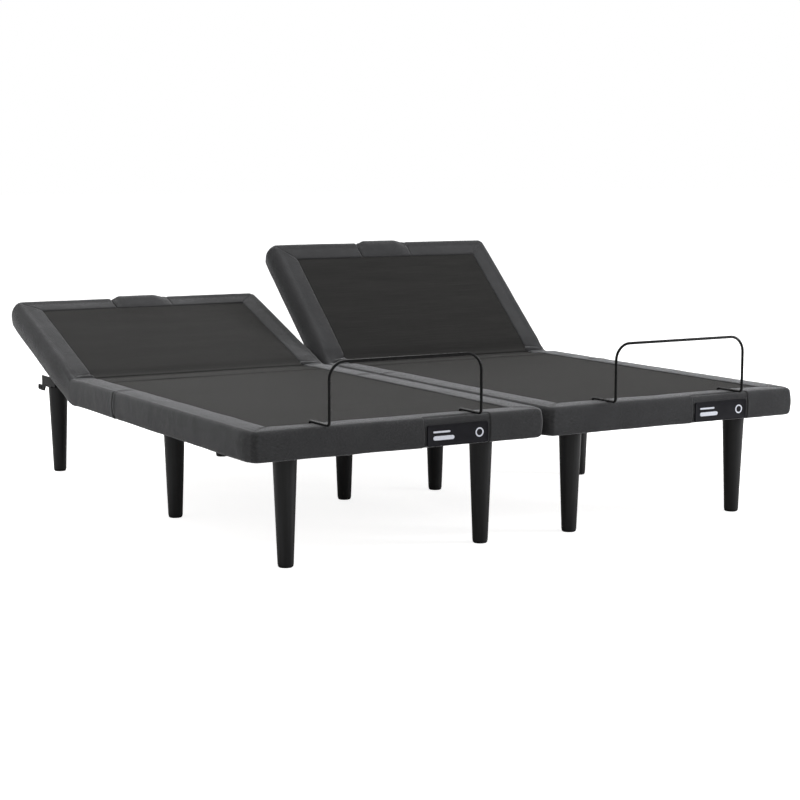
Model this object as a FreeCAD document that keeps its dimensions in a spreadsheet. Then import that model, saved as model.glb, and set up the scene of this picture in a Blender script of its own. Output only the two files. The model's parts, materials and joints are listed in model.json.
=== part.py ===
"""Adjustable bed base: two single-width units side by side, each with a fixed steel chassis on six
legs, a fixed seat section, a lifting head section and a folding leg section.

Frame: millimetres, +Z up, +Y towards the head, origin on the floor at the middle of the whole base.
"""
import FreeCAD, Part
import math
import os
import Sketcher

doc = FreeCAD.newDocument("AdjustableBedBase")

# ---------------------------------------------------------------- driving sizes

SIZES = (
    ("unit_width", 965, "overall width of one unit"),
    ("unit_length", 2053, "foot-end face to head-end face, all flat"),
    ("unit_gap", 26, "space between the two units"),
    ("deck_height", 414, "floor to the top of the padded border"),
    ("skirt_height", 89, "depth of the padded border's side"),
    ("head_hinge_y", 1422.5, "foot-end face to the head hinge"),
    ("thigh_hinge_y", 1030, "foot-end face to the thigh hinge"),
    ("knee_y", 620, "foot-end face to the knee hinge"),
    ("head_lift", 60, "head section travel, degrees"),
    ("thigh_lift", 40, "thigh section travel, degrees"),
    ("left_head_angle", 20.8, "head section angle of the left unit as it stands, degrees"),
    ("right_head_angle", 41.8, "head section angle of the right unit as it stands, degrees"),
    ("board", 12, "deck board thickness"),
    ("deck_pad", 8, "deck pad thickness"),
    ("border_width", 78, "padded border width, seen from above"),
    ("border_pad", 12, "padding over the deck board's edge"),
    ("skirt_pad", 22, "padding at the side of the deck board"),
    ("corner_round", 20, "rounding of the outer corners, seen from above"),
    ("fold_gap", 1, "half the gap between neighbouring sections"),
    ("deck_fold_gap", 9, "hinge axis to the edge of a board or deck pad"),
    ("fold_relief", 31, "relief angle that lets neighbouring padding fold, degrees"),
    ("section_tube", 25, "square tube of the section frames"),
    ("section_tube_wall", 1.5, "wall of the section tubes"),
    ("section_rail_x", 180, "unit centre to a section frame's long tube"),
    ("cross_tube_inset", 147.5, "end of a section frame's cross tube to the unit's side"),
    ("cross_tube_set", 40, "hinge axis to the near side of the first cross tube"),
    ("end_tube_set", 45, "section end to the last cross tube"),
    ("rail_inset", 160.5, "middle of a chassis rail to the unit's side"),
    ("rail_width", 50, "chassis rail width"),
    ("rail_height", 38, "chassis rail and crossmember height"),
    ("tube_wall", 2, "wall of the chassis tubes"),
    ("chassis_gap", 2, "top of the chassis to the section frames, all flat"),
    ("rail_foot_set", 94, "foot-end face to the chassis rails"),
    ("rail_head_set", 43, "chassis rails to the head-end face"),
    ("mid_cross_y", 944, "foot-end face to the middle crossmember and middle legs"),
    ("rear_cross_y", 1560, "foot-end face to the rear crossmember"),
    ("foot_leg_y", 113, "foot-end face to the foot legs"),
    ("head_leg_set", 63, "head legs to the head-end face"),
    ("foot_leg_inset", 152.5, "foot legs to the unit's side"),
    ("mid_leg_inset", 169.5, "middle legs to the unit's side"),
    ("head_leg_inset", 150, "head legs to the unit's side"),
    ("leg_top", 71, "leg diameter at the top"),
    ("leg_base", 47, "leg diameter at the bottom"),
    ("leg_bevel", 3, "bevel round the top of a leg"),
    ("glide", 8, "thickness of the foot glide"),
    ("glide_inset", 1, "side of a leg at the bottom to the side of its glide"),
    ("glide_bevel", 3, "bevel round the bottom of a glide"),
    ("plate", 5, "leg plate and strap thickness"),
    ("leg_plate_side", 88, "side of the square leg plate"),
    ("stud", 10, "leg stud diameter"),
    ("stud_reach", 20, "leg stud length above the leg"),
    ("weld_nut", 16, "diameter of the weld nut on the leg plate"),
    ("weld_nut_height", 12, "height of the weld nut"),
    ("weld_nut_room", 0.5, "room round the weld nut in its rail"),
    ("running_fit", 0.05, "radial clearance of pins and rods"),
    ("pin", 8, "hinge pin diameter"),
    ("pin_end", 4, "how far a hinge pin stands out of its ears"),
    ("knuckle", 16, "hinge knuckle diameter"),
    ("ear", 10, "thickness of a moving hinge ear"),
    ("side_ear", 5, "thickness of each fixed hinge ear"),
    ("ear_gap", 0.5, "gap between hinge ears"),
    ("hinge_plate", 4, "hinge plate thickness"),
    ("hinge_x", 250, "unit centre to a hinge"),
    ("hinge_plate_width", 40, "hinge plate size along the hinge line"),
    ("hinge_plate_end", 38, "hinge axis to the far side of a hinge plate"),
    ("hinge_plate_set", 1, "edge of a deck board to the hinge plate on it"),
    ("web_overlap", 2, "how far a hinge ear's web runs into the hinge plate"),
    ("lever_drop", 105, "hinge axis down to the actuator's line of thrust"),
    ("lever_plate", 6, "lift lever plate thickness"),
    ("lever_gap", 22, "space between the two plates of a lift lever"),
    ("lever_x", 110, "unit centre to a lift lever"),
    ("lever_tip", 17, "radius of the lever's end"),
    ("lever_flat", 0.6, "half of the flat at the lever's end, against its radius"),
    ("slot_room", 1, "room at each end of the lever slot"),
    ("slot_clearance", 2, "clearance each side of the thrust pin in the lever slot"),
    ("thrust_pin", 10, "thrust pin and rear pin diameter"),
    ("pin_stand", 3, "how far thrust pins and rear pins stand out of the plates beside them"),
    ("head_rod_gain", 1.075, "head rod travel against lever swing"),
    ("leg_rod_gain", 1.03, "leg rod travel against lever swing"),
    ("rod", 18, "actuator rod diameter"),
    ("rod_length", 175, "actuator rod length behind its pin"),
    ("actuator_tube", 38, "actuator tube diameter"),
    ("bore_depth", 170, "depth of the actuator tube's bore"),
    ("housing_side", 66, "side of the actuator's gear housing"),
    ("housing_start", 16, "rear pin to the gear housing"),
    ("housing_end", 130, "rear pin to the front of the gear housing"),
    ("motor", 50, "actuator motor diameter"),
    ("motor_set", 4, "end of the gear housing to the end of its motor"),
    ("motor_foot_set", 24, "end of the gear housing to the foot that joins the motor to it"),
    ("eye", 28, "diameter of a rod eye"),
    ("eye_width", 20, "width of a rod eye"),
    ("bracket_plate", 5, "thickness of the actuator and headboard brackets"),
    ("hanger_half", 13, "half the width of an actuator bracket"),
    ("hanger_bevel", 5, "cut corner of an actuator bracket"),
    ("wire", 8.5, "retainer bar wire diameter"),
    ("bar_span", 502, "retainer bar width, wire centre to wire centre"),
    ("bar_offset", -9, "retainer bar centre from the unit centre"),
    ("bar_height", 597, "floor to the middle of the retainer bar's top run"),
    ("bar_stand", 25, "retainer bar's uprights in front of the foot-end face"),
    ("bar_corner", 50, "retainer bar's top corner radius"),
    ("bar_bend", 12, "retainer bar's lower bend radius"),
    ("bar_socket_y", 92, "foot-end face to the retainer bar's sockets"),
    ("socket", 17, "retainer bar socket diameter"),
    ("socket_stand", 5, "how far a socket stands out under its board"),
    ("bar_foot_set", 2, "underside of the board to the end of the bar in its socket"),
    ("badge_width", 210, "name plate width"),
    ("badge_height", 62, "name plate height"),
    ("badge_depth", 4, "name plate thickness"),
    ("badge_x", 177, "unit centre to the name plate's centre"),
    ("badge_drop", 23, "top of the border to the name plate"),
    ("hump_base", 222, "width of the head-end grip pad at its base"),
    ("hump_top", 133, "width of the head-end grip pad at its top"),
    ("hump_rise", 16, "height of the head-end grip pad"),
    ("bracket_reach", 18, "headboard brackets past the head-end face"),
    ("bracket_hole", 9, "headboard bolt hole diameter"),
    ("bracket_hole_pitch", 24, "distance between the two headboard bolt holes"),
    ("bracket_hole_set", 14, "end of the headboard bracket to its outer hole"),
    ("bracket_offset", 30, "headboard bracket's plate to the rail beside it"),
    ("bracket_start", 60, "leg plate to the front of the headboard bracket"),
    ("bracket_spacer", 50, "length of the block between the headboard bracket and its rail"),
    ("bracket_edge", 3, "top or bottom of the chassis to the edge of the headboard bracket"),
    ("bracket_tab", 20, "height of the headboard bracket's tab"),
    ("bracket_tab_bevel", 5, "cut corner of the headboard bracket's tab"),
    ("bracket_slope", 18, "length over which the headboard bracket steps down to its tab"),
    ("tube_setback", 27, "thrust pin to the end of the actuator tube, rod drawn in"),
    ("skirt_clearance", 2, "clearance under the head-end border for the headboard bracket"),
    ("massager", 120, "vibration motor diameter"),
    ("massager_height", 30, "vibration motor height"),
    ("tie_width", 40, "width of the straps that join the two units"),
    ("tie_bolt", 8, "strap bolt diameter"),
    ("tie_bolt_head", 14, "strap bolt head diameter"),
    ("tie_bolt_head_height", 6, "strap bolt head height"),
    ("tie_bolt_reach", 12, "how far a strap bolt reaches into its rail"),
    ("foot_tie_set", 190, "foot legs to the strap near them"),
    ("head_tie_set", 300, "strap near the head legs to the head-end face"),
    ("bearer_set", 45, "seat bearers to the hinge axes beside them"),
    ("bumper", 26, "rest bumper diameter"),
    ("rest_gap", 0.3, "gap between a bumper and the tube it carries"),
    ("control_width", 180, "control box width"),
    ("control_length", 110, "control box length"),
    ("supply_width", 140, "power supply width"),
    ("supply_length", 105, "power supply length"),
    ("case_low", 1, "bottom of the chassis to the bottom of the two electric cases"),
    ("case_high", 3, "top of the two electric cases to the top of the chassis"),
    ("overcut", 1, "how far a cutting solid passes the face that it cuts"),
)

sheet = doc.addObject("Spreadsheet::Sheet", "Sizes")
for row, (alias, number, note) in enumerate(SIZES, start=1):
    sheet.set(f"A{row}", note)
    sheet.set(f"B{row}", str(number))
    sheet.setAlias(f"B{row}", alias)
doc.recompute()


class Names(dict):
    """Turns a word of the size list into a formula that reads the sheet."""

    def __missing__(self, word):
        sheet.getPropertyByName(word)
        return f"Sizes.{word}"


def formula(text):
    """A formula for the sheet: every {word} is one of its sizes."""
    return text.format_map(Names())


def value(text):
    """The number that a formula gives now."""
    result = sheet.evalExpression(text)
    return float(getattr(result, "Value", result))


# ---------------------------------------------------------------- levels and places

HALF = formula("({unit_width} / 2)")
BOARD_TOP = formula("({board} / 2)")
BOARD_LOW = formula("(-{board} / 2)")
PAD_TOP = formula("({board} / 2 + {deck_pad})")
BORDER_TOP = formula("({board} / 2 + {border_pad})")
SKIRT_LOW = formula("({board} / 2 + {border_pad} - {skirt_height})")
TUBE_LOW = formula("(-{board} / 2 - {section_tube})")
HINGE_Z = formula("({deck_height} - {border_pad} - {board} / 2)")
CHASSIS_TOP = formula(f"({HINGE_Z} + {TUBE_LOW} - {{chassis_gap}})")
CHASSIS_LOW = formula(f"({CHASSIS_TOP} - {{rail_height}})")
LEG_TOP_Z = formula(f"({CHASSIS_LOW} - {{plate}})")
HEAD_LEG_Y = formula("({unit_length} - {head_leg_set})")
RAIL_X = formula("({unit_width} / 2 - {rail_inset})")
RAIL_IN = formula(f"({RAIL_X} - {{rail_width}} / 2)")
RAIL_OUT = formula(f"({RAIL_X} + {{rail_width}} / 2)")
MIDDLE_Y = formula("(({unit_length} + {bracket_reach} - {bar_stand} - {wire} / 2) / 2)")
THRUST_Z = f"({HINGE_Z} - {formula('{lever_drop}')})"
OVERCUT = formula("{overcut}")
SAME_PLACE = 0.01

UNITS = (("left", -1), ("right", 1))
SIDES = (-1, 1)

nodes = []


def unit_x(sign):
    """Middle of a unit, across the bed."""
    return formula(f"({sign} * ({{unit_width}} + {{unit_gap}}) / 2)")


def hinge_place(sign, hinge_y):
    """A place on a unit's centre line at the height of the hinges."""
    return (unit_x(sign), f"{hinge_y} - {MIDDLE_Y}", HINGE_Z)


def floor_place(sign):
    """A unit's own origin on the floor at its foot-end face."""
    return (unit_x(sign), f"-{MIDDLE_Y}", "0")


# ---------------------------------------------------------------- building blocks

def put(thing, place, turn=None, angle=None):
    """Binds an object's place to three formulas, with an optional turn about an axis."""
    if turn is not None:
        thing.Placement.Rotation = FreeCAD.Rotation(FreeCAD.Vector(*turn), value(angle))
        thing.setExpression("Placement.Rotation.Angle", angle)
    for letter, text in zip("xyz", place):
        thing.setExpression(f"Placement.Base.{letter}", text)
    return thing


def box(name, x, y, z):
    """A box from the low and high formulas of its three sides."""
    solid = doc.addObject("Part::Box", name)
    for side, (low, high) in zip(("Length", "Width", "Height"), (x, y, z)):
        solid.setExpression(side, f"({high}) - ({low})")
    return put(solid, (x[0], y[0], z[0]))


TURNS = {"x": ((0, 1, 0), 90), "y": ((1, 0, 0), -90), "z": ((0, 0, 1), 0)}


def cylinder(name, axis, diameter, span, centre, clearance="0"):
    """A cylinder along an axis, from its low and high formulas and its centre on the other two."""
    solid = doc.addObject("Part::Cylinder", name)
    solid.setExpression("Radius", f"({diameter}) / 2 + ({clearance})")
    solid.setExpression("Height", f"({span[1]}) - ({span[0]})")
    turn, angle = TURNS[axis]
    solid.Placement.Rotation = FreeCAD.Rotation(FreeCAD.Vector(*turn), angle)
    place = list(centre)
    place.insert("xyz".index(axis), span[0])
    return put(solid, place)


def fuse(name, *solids):
    """One solid from several."""
    whole = doc.addObject("Part::MultiFuse", name)
    whole.Shapes = list(solids)
    whole.Refine = True
    return whole


def cut(name, base, *tools):
    """A solid with others taken out of it."""
    hollow = doc.addObject("Part::Cut", name)
    hollow.Base = base
    hollow.Tool = tools[0] if len(tools) == 1 else fuse(f"{name}_tools", *tools)
    return hollow


def bundle(name, parts):
    """Several solids handled as one object."""
    group = doc.addObject("Part::Compound", name)
    group.Links = list(parts)
    return group


def node(label, parts, place=("0", "0", "0"), turn=None, angle=None):
    """A named sub-part: one solid, or a group of separate ones, put in its place."""
    group = bundle(label, parts)
    group.Label = label
    put(group, place, turn, angle)
    nodes.append(group)
    return group


def plane(body, role):
    """One of a body's own origin planes."""
    return next(item for item in body.Origin.OriginFeatures if item.Role == role)


def sketch_on(body, name, role):
    """An empty sketch on one of the body's own planes."""
    sketch = body.newObject("Sketcher::SketchObject", name)
    sketch.AttachmentSupport = [(plane(body, role), "")]
    sketch.MapMode = "FlatFace"
    return sketch


def pin_point(sketch, geometry, point, place):
    """Ties a sketch point to a pair of formulas."""
    for kind, text in zip(("DistanceX", "DistanceY"), place):
        rule = Sketcher.Constraint(kind, -1, 1, geometry, point, value(text))
        sketch.setExpression(f"Constraints[{sketch.addConstraint(rule)}]", text)


def outline(sketch, points):
    """A closed outline of straight lines through points given as pairs of formulas."""
    spots = [FreeCAD.Vector(value(u), value(v), 0) for u, v in points]
    first = sketch.GeometryCount
    for here, there in zip(spots, spots[1:] + spots[:1]):
        sketch.addGeometry(Part.LineSegment(here, there))
    for index in range(len(spots)):
        following = first + (index + 1) % len(spots)
        sketch.addConstraint(Sketcher.Constraint("Coincident", first + index, 2, following, 1))
    for index, place in enumerate(points):
        pin_point(sketch, first + index, 1, place)


def circle(sketch, place, radius):
    """A circle in a sketch, from formulas for its centre and radius."""
    spot = FreeCAD.Vector(value(place[0]), value(place[1]), 0)
    ring = sketch.addGeometry(Part.Circle(spot, FreeCAD.Vector(0, 0, 1), value(radius)))
    pin_point(sketch, ring, 3, place)
    rule = sketch.addConstraint(Sketcher.Constraint("Radius", ring, value(radius)))
    sketch.setExpression(f"Constraints[{rule}]", radius)


def plate(name, points, x, holes=()):
    """A flat plate across the X axis: an outline in Y and Z, and round holes through it."""
    body = doc.addObject("PartDesign::Body", name)
    sketch = sketch_on(body, f"{name}_outline", "YZ_Plane")
    outline(sketch, points)
    for place, radius in holes:
        circle(sketch, place, radius)
    pad = body.newObject("PartDesign::Pad", f"{name}_pad")
    pad.Profile = sketch
    pad.setExpression("Length", f"({x[1]}) - ({x[0]})")
    return put(body, (x[0], "0", "0"))


def turned(name, points):
    """A solid of revolution about Z from an outline of radius and height."""
    body = doc.addObject("PartDesign::Body", name)
    sketch = sketch_on(body, f"{name}_profile", "XZ_Plane")
    outline(sketch, points)
    spin = body.newObject("PartDesign::Revolution", f"{name}_turn")
    spin.Profile = sketch
    spin.ReferenceAxis = (sketch, ["V_Axis"])
    spin.Angle = 360
    return body


def round_ended(name, x, y, z, radius, outward):
    """A slab whose two vertical edges on the outward side, along Y, are rounded."""
    body = doc.addObject("PartDesign::Body", name)
    sketch = sketch_on(body, f"{name}_outline", "XY_Plane")
    corners = [(x[0], y[0]), (x[1], y[0]), (x[1], y[1]), (x[0], y[1])]
    outline(sketch, corners)
    pad = body.newObject("PartDesign::Pad", f"{name}_pad")
    pad.Profile = sketch
    pad.setExpression("Length", f"({z[1]}) - ({z[0]})")
    doc.recompute()
    outer = value(y[1] if outward > 0 else y[0])
    edges = []
    for number, edge in enumerate(pad.Shape.Edges, start=1):
        ends = [vertex.Point for vertex in edge.Vertexes]
        upright = abs(ends[0].z - ends[1].z) > SAME_PLACE
        if upright and abs(ends[0].y - outer) < SAME_PLACE:
            edges.append(f"Edge{number}")
    rounding = body.newObject("PartDesign::Fillet", f"{name}_round")
    rounding.Base = (pad, edges)
    rounding.setExpression("Radius", radius)
    body.Tip = rounding
    return put(body, ("0", "0", z[0]))


def tube(name, x, y, z, wall, along):
    """A hollow box section, open at both ends along one axis."""
    outer = box(f"{name}_outer", x, y, z)
    inside = []
    for letter, (low, high) in zip("xyz", (x, y, z)):
        if letter == along:
            inside.append((f"{low} - {OVERCUT}", f"{high} + {OVERCUT}"))
        else:
            inside.append((f"{low} + {wall}", f"{high} - {wall}"))
    return cut(name, outer, box(f"{name}_inner", *inside))


# ---------------------------------------------------------------- legs

def leg_places():
    """Every leg's place: unit, name, and formulas for its X and Y in the unit."""
    rows = (
        ("foot", formula("{foot_leg_inset}"), formula("{foot_leg_y}")),
        ("mid", formula("{mid_leg_inset}"), formula("{mid_cross_y}")),
        ("head", formula("{head_leg_inset}"), HEAD_LEG_Y),
    )
    for unit, sign in UNITS:
        for row, inset, y in rows:
            for side in SIDES:
                name = f"{unit}_{row}_{'inner' if side * sign < 0 else 'outer'}"
                yield name, sign, f"({side} * ({HALF} - {inset}))", y


def make_legs():
    """Tapered legs with their studs, the glides under them and the plates above them."""
    legs, glides, plates = [], [], []
    top = LEG_TOP_Z
    stud_radius = formula("{stud} / 2")
    for name, sign, x, y in leg_places():
        place = (f"{unit_x(sign)} + {x}", f"{y} - {MIDDLE_Y}", "0")
        leg = turned(f"leg_{name}", [
            ("0", formula("{glide}")),
            (formula("{leg_base} / 2"), formula("{glide}")),
            (formula("{leg_top} / 2"), formula(f"{top} - {{leg_bevel}}")),
            (formula("{leg_top} / 2 - {leg_bevel}"), top),
            (stud_radius, top),
            (stud_radius, formula(f"{top} + {{stud_reach}}")),
            ("0", formula(f"{top} + {{stud_reach}}")),
        ])
        legs.append(put(leg, place))
        glide = turned(f"glide_{name}", [
            ("0", "0"),
            (formula("{leg_base} / 2 - {glide_inset} - {glide_bevel}"), "0"),
            (formula("{leg_base} / 2 - {glide_inset}"), formula("{glide_bevel}")),
            (formula("{leg_base} / 2 - {glide_inset}"), formula("{glide}")),
            ("0", formula("{glide}")),
        ])
        glides.append(put(glide, place))
        half_side = formula("{leg_plate_side} / 2")
        flat = box(f"leg_plate_flat_{name}", (f"-{half_side}", half_side),
                   (f"-{half_side}", half_side), (top, CHASSIS_LOW))
        nut = cylinder(f"weld_nut_{name}", "z", formula("{weld_nut}"),
                       (CHASSIS_LOW, formula(f"{CHASSIS_LOW} + {{weld_nut_height}}")), ("0", "0"))
        hole = cylinder(f"stud_hole_{name}", "z", formula("{stud}"),
                        (f"{top} - {OVERCUT}", formula(f"{CHASSIS_LOW} + {{weld_nut_height}} + {{overcut}}")),
                        ("0", "0"), formula("{running_fit}"))
        leg_plate = cut(f"leg_plate_{name}", fuse(f"leg_plate_body_{name}", flat, nut), hole)
        plates.append(put(leg_plate, place))
    node("legs", legs)
    node("leg_glides", glides)
    node("leg_plates", plates)


# ---------------------------------------------------------------- chassis

TIE_PLACES = (
    ("foot", formula("({foot_leg_y} + {foot_tie_set})")),
    ("head", formula("({unit_length} - {head_tie_set})")),
)


def make_chassis(unit, sign):
    """Two long rails and four crossmembers of steel tube, welded edge to edge."""
    rail_y = (formula("{rail_foot_set}"), formula("{unit_length} - {rail_head_set}"))
    height = (CHASSIS_LOW, CHASSIS_TOP)
    wall = formula("{tube_wall}")
    parts = []
    for side in SIDES:
        name = f"{unit}_rail_{'left' if side < 0 else 'right'}"
        ends = sorted((f"{side} * {RAIL_IN}", f"{side} * {RAIL_OUT}"), key=value)
        rail = tube(name, ends, rail_y, height, wall, "y")
        holes = []
        for leg_name, leg_sign, x, y in leg_places():
            if leg_sign == sign and value(x) * side > 0:
                holes.append(cylinder(
                    f"{name}_{leg_name}_hole", "z", formula("{weld_nut}"),
                    (f"{CHASSIS_LOW} - {OVERCUT}", f"{CHASSIS_LOW} + {wall} + {OVERCUT}"), (x, y),
                    formula("{weld_nut_room}")))
        if side * sign < 0:
            for tie, y in TIE_PLACES:
                holes.append(cylinder(
                    f"{name}_{tie}_bolt_hole", "z", formula("{tie_bolt}"),
                    (f"{CHASSIS_LOW} - {OVERCUT}", f"{CHASSIS_LOW} + {wall} + {OVERCUT}"),
                    (f"{side} * {RAIL_X}", y), formula("{running_fit}")))
        parts.append(cut(f"{name}_drilled", rail, *holes))
    crosses = (
        ("foot", formula("{foot_leg_y}")),
        ("middle", formula("{mid_cross_y}")),
        ("rear", formula("{rear_cross_y}")),
        ("head", HEAD_LEG_Y),
    )
    half = formula("{rail_height} / 2")
    for name, y in crosses:
        parts.append(tube(f"{unit}_crossmember_{name}", (f"-{RAIL_IN}", RAIL_IN),
                          (f"{y} - {half}", f"{y} + {half}"), height, wall, "x"))
    node(f"{unit}_chassis", parts, floor_place(sign))


def make_ties():
    """Straps and bolts that hold the two units side by side."""
    straps, bolts = [], []
    reach = formula("({rail_inset} + ({unit_gap} + {rail_width}) / 2)")
    bolt_x = formula("({rail_inset} + {unit_gap} / 2)")
    for tie, y in TIE_PLACES:
        middle = f"({y} - {MIDDLE_Y})"
        width = formula("{tie_width} / 2")
        strap = box(f"tie_strap_{tie}", (f"-{reach}", reach),
                    (f"{middle} - {width}", f"{middle} + {width}"), (LEG_TOP_Z, CHASSIS_LOW))
        holes = []
        for side in SIDES:
            centre = (f"{side} * {bolt_x}", middle)
            name = f"{tie}_{'left' if side < 0 else 'right'}"
            holes.append(cylinder(f"tie_hole_{name}", "z", formula("{tie_bolt}"),
                                  (f"{LEG_TOP_Z} - {OVERCUT}", f"{CHASSIS_LOW} + {OVERCUT}"), centre,
                                  formula("{running_fit}")))
            shank = cylinder(f"tie_shank_{name}", "z", formula("{tie_bolt}"),
                             (f"{LEG_TOP_Z} - {OVERCUT}", formula(f"{CHASSIS_LOW} + {{tie_bolt_reach}}")),
                             centre)
            head = cylinder(f"tie_head_{name}", "z", formula("{tie_bolt_head}"),
                            (formula(f"{LEG_TOP_Z} - {{tie_bolt_head_height}}"), LEG_TOP_Z), centre)
            bolts.append(fuse(f"tie_bolt_{name}", shank, head))
        straps.append(cut(f"tie_{tie}", strap, *holes))
    node("unit_ties", straps)
    node("tie_bolts", bolts)


def make_headboard_brackets():
    """Plates beside the head legs that reach past the head end under the border."""
    parts = []
    end = formula("({unit_length} + {bracket_reach})")
    tab_top = formula("({deck_height} - {skirt_height} - {skirt_clearance})")
    tab_low = formula(f"({tab_top} - {{bracket_tab}})")
    start = formula(f"({HEAD_LEG_Y} - {{leg_plate_side}} / 2 - {{bracket_start}})")
    low = formula(f"({CHASSIS_LOW} + {{bracket_edge}})")
    high = formula(f"({CHASSIS_TOP} - {{bracket_edge}})")
    back = formula("({unit_length} - {skirt_pad} - 2 * {skirt_clearance})")
    step = formula(f"({back} - {{bracket_slope}})")
    bevel = formula("{bracket_tab_bevel}")
    outline_points = (
        (start, low),
        (formula(f"{step} - {{bracket_slope}}"), low),
        (step, tab_low),
        (f"{end} - {bevel}", tab_low),
        (end, f"{tab_low} + {bevel}"),
        (end, f"{tab_top} - {bevel}"),
        (f"{end} - {bevel}", tab_top),
        (back, tab_top),
        (back, high),
        (start, high),
    )
    hole_radius = formula("{bracket_hole} / 2")
    hole_z = formula(f"({tab_top} - {{bracket_tab}} / 2)")
    outer_hole = formula(f"({end} - {{bracket_hole_set}})")
    inner_hole = formula(f"({outer_hole} - {{bracket_hole_pitch}})")
    holes = [((inner_hole, hole_z), hole_radius), ((outer_hole, hole_z), hole_radius)]
    thick = formula("{bracket_plate}")
    offset = formula("{bracket_offset}")
    for unit, sign in UNITS:
        for side in SIDES:
            name = f"{unit}_headboard_bracket_{'left' if side < 0 else 'right'}"
            inner = f"({RAIL_OUT} + {offset})"
            ends = sorted((f"{side} * {inner}", f"{side} * ({inner} + {thick})"), key=value)
            flat = plate(f"{name}_plate", outline_points, ends, holes)
            spacer_x = sorted((f"{side} * {RAIL_OUT}", f"{side} * {inner}"), key=value)
            spacer_y = (start, formula(f"{start} + {{bracket_spacer}}"))
            spacer = box(f"{name}_spacer", spacer_x, spacer_y, (low, high))
            bracket = fuse(name, flat, spacer)
            parts.append(put(bracket, (unit_x(sign), f"-{MIDDLE_Y}", "0")))
    node("headboard_brackets", parts)


def make_bumpers():
    """Rubber rests on the chassis rails under the sections' cross tubes."""
    parts = []
    tube_half = formula("{section_tube} / 2")
    rows = (
        ("head", formula(f"{{unit_length}} - {{end_tube_set}} - {tube_half}")),
        ("thigh", formula(f"{{thigh_hinge_y}} - {{cross_tube_set}} - {tube_half}")),
        ("foot", formula(f"{{end_tube_set}} + {tube_half} + {{border_width}}")),
    )
    top = formula(f"({HINGE_Z} + {TUBE_LOW} - {{rest_gap}})")
    for unit, sign in UNITS:
        for row, y in rows:
            for side in SIDES:
                name = f"{unit}_{row}_bumper_{'left' if side < 0 else 'right'}"
                centre = (f"{unit_x(sign)} + {side} * {RAIL_X}", f"{y} - {MIDDLE_Y}")
                parts.append(cylinder(name, "z", formula("{bumper}"), (CHASSIS_TOP, top), centre))
    node("rest_bumpers", parts)


def make_electrics():
    """Control boxes on the middle crossmembers and power supplies on the foot crossmembers."""
    boxes, supplies = [], []
    half = formula("{rail_height} / 2")
    control_half, supply_half = formula("{control_width} / 2"), formula("{supply_width} / 2")
    levels = (formula(f"{CHASSIS_LOW} + {{case_low}}"), formula(f"{CHASSIS_TOP} - {{case_high}}"))
    for unit, sign in UNITS:
        x = unit_x(sign)
        back = formula(f"({{mid_cross_y}} - {half} - {MIDDLE_Y})")
        boxes.append(box(f"{unit}_control_box", (f"{x} - {control_half}", f"{x} + {control_half}"),
                         (formula(f"{back} - {{control_length}}"), back), levels))
        front = formula(f"({{foot_leg_y}} + {half} - {MIDDLE_Y})")
        supplies.append(box(f"{unit}_power_supply", (f"{x} - {supply_half}", f"{x} + {supply_half}"),
                            (front, formula(f"{front} + {{supply_length}}")), levels))
    node("control_boxes", boxes)
    node("power_supplies", supplies)


# ---------------------------------------------------------------- deck sections

def fold_end(at, toward, low, high, relief_above):
    """Points up the end of a padded strip beside a hinge axis, from its low to its high level.

    toward is +1 where the strip lies on the +Y side of the axis. The strip leans back above the
    axis where neighbours fold upwards, and below it where they fold downwards.
    """
    gap = formula("{fold_gap}")
    lean = formula("tan({fold_relief})")
    points = []
    for level in sorted({low, high, "0"} if value(low) < 0 < value(high) else {low, high}, key=value):
        depth = level if relief_above else f"(-{level})"
        leaning = f"{depth} * {lean}" if value(depth) > 0 else "0"
        points.append((f"{at} + {toward} * ({gap} + {leaning})", level))
    return points


def square_end(at, low, high):
    """Points up an upright end."""
    return [(at, low), (at, high)]


def border_sides(name, near, far_flange, far_skirt):
    """Flange and skirt strips of padding along both sides of a section.

    near and the far pair are functions that give the end's points from a low and a high level.
    """
    parts = []
    for side in SIDES:
        hand = "left" if side < 0 else "right"
        inner = formula(f"({HALF} - {{border_width}})")
        skirt_in = formula(f"({HALF} - {{skirt_pad}})")
        for kind, inside, low, high, far in (
            ("flange", inner, BOARD_TOP, BORDER_TOP, far_flange),
            ("skirt", skirt_in, SKIRT_LOW, BOARD_TOP, far_skirt),
        ):
            ends = sorted((f"{side} * {inside}", f"{side} * {HALF}"), key=value)
            points = near(low, high) + far(low, high)[::-1]
            parts.append(plate(f"{name}_{kind}_{hand}", points, ends))
    return parts


def border_end(name, end, outward):
    """Flange and skirt strips across a section's end, with rounded corners."""
    radius = formula("{corner_round}")
    parts = []
    for kind, depth, low, high in (
        ("flange", formula("{border_width}"), BOARD_TOP, BORDER_TOP),
        ("skirt", formula("{skirt_pad}"), SKIRT_LOW, BOARD_TOP),
    ):
        ends = sorted((end, f"{end} - {outward} * {depth}"), key=value)
        parts.append(round_ended(f"{name}_{kind}_end", (f"-{HALF}", HALF), ends, (low, high),
                                 radius, outward))
    return parts


def deck(name, y_board, y_pad, holes=()):
    """A deck board and the thin pad on it; holes go through both."""
    board_half = formula(f"({HALF} - {{skirt_pad}})")
    pad_half = formula(f"({HALF} - {{border_width}})")
    board = box(f"{name}_board", (f"-{board_half}", board_half), y_board, (BOARD_LOW, BOARD_TOP))
    pad = box(f"{name}_pad", (f"-{pad_half}", pad_half), y_pad, (BOARD_TOP, PAD_TOP))
    if not holes:
        return board, pad
    drills = []
    for piece in ("board", "pad"):
        drills.append([
            cylinder(f"{name}_{piece}_hole_{index}", "z", diameter,
                     (f"{BOARD_LOW} - {OVERCUT}", f"{PAD_TOP} + {OVERCUT}"), centre)
            for index, (centre, diameter) in enumerate(holes)
        ])
    return cut(f"{name}_board_drilled", board, *drills[0]), cut(f"{name}_pad_drilled", pad, *drills[1])


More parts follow.
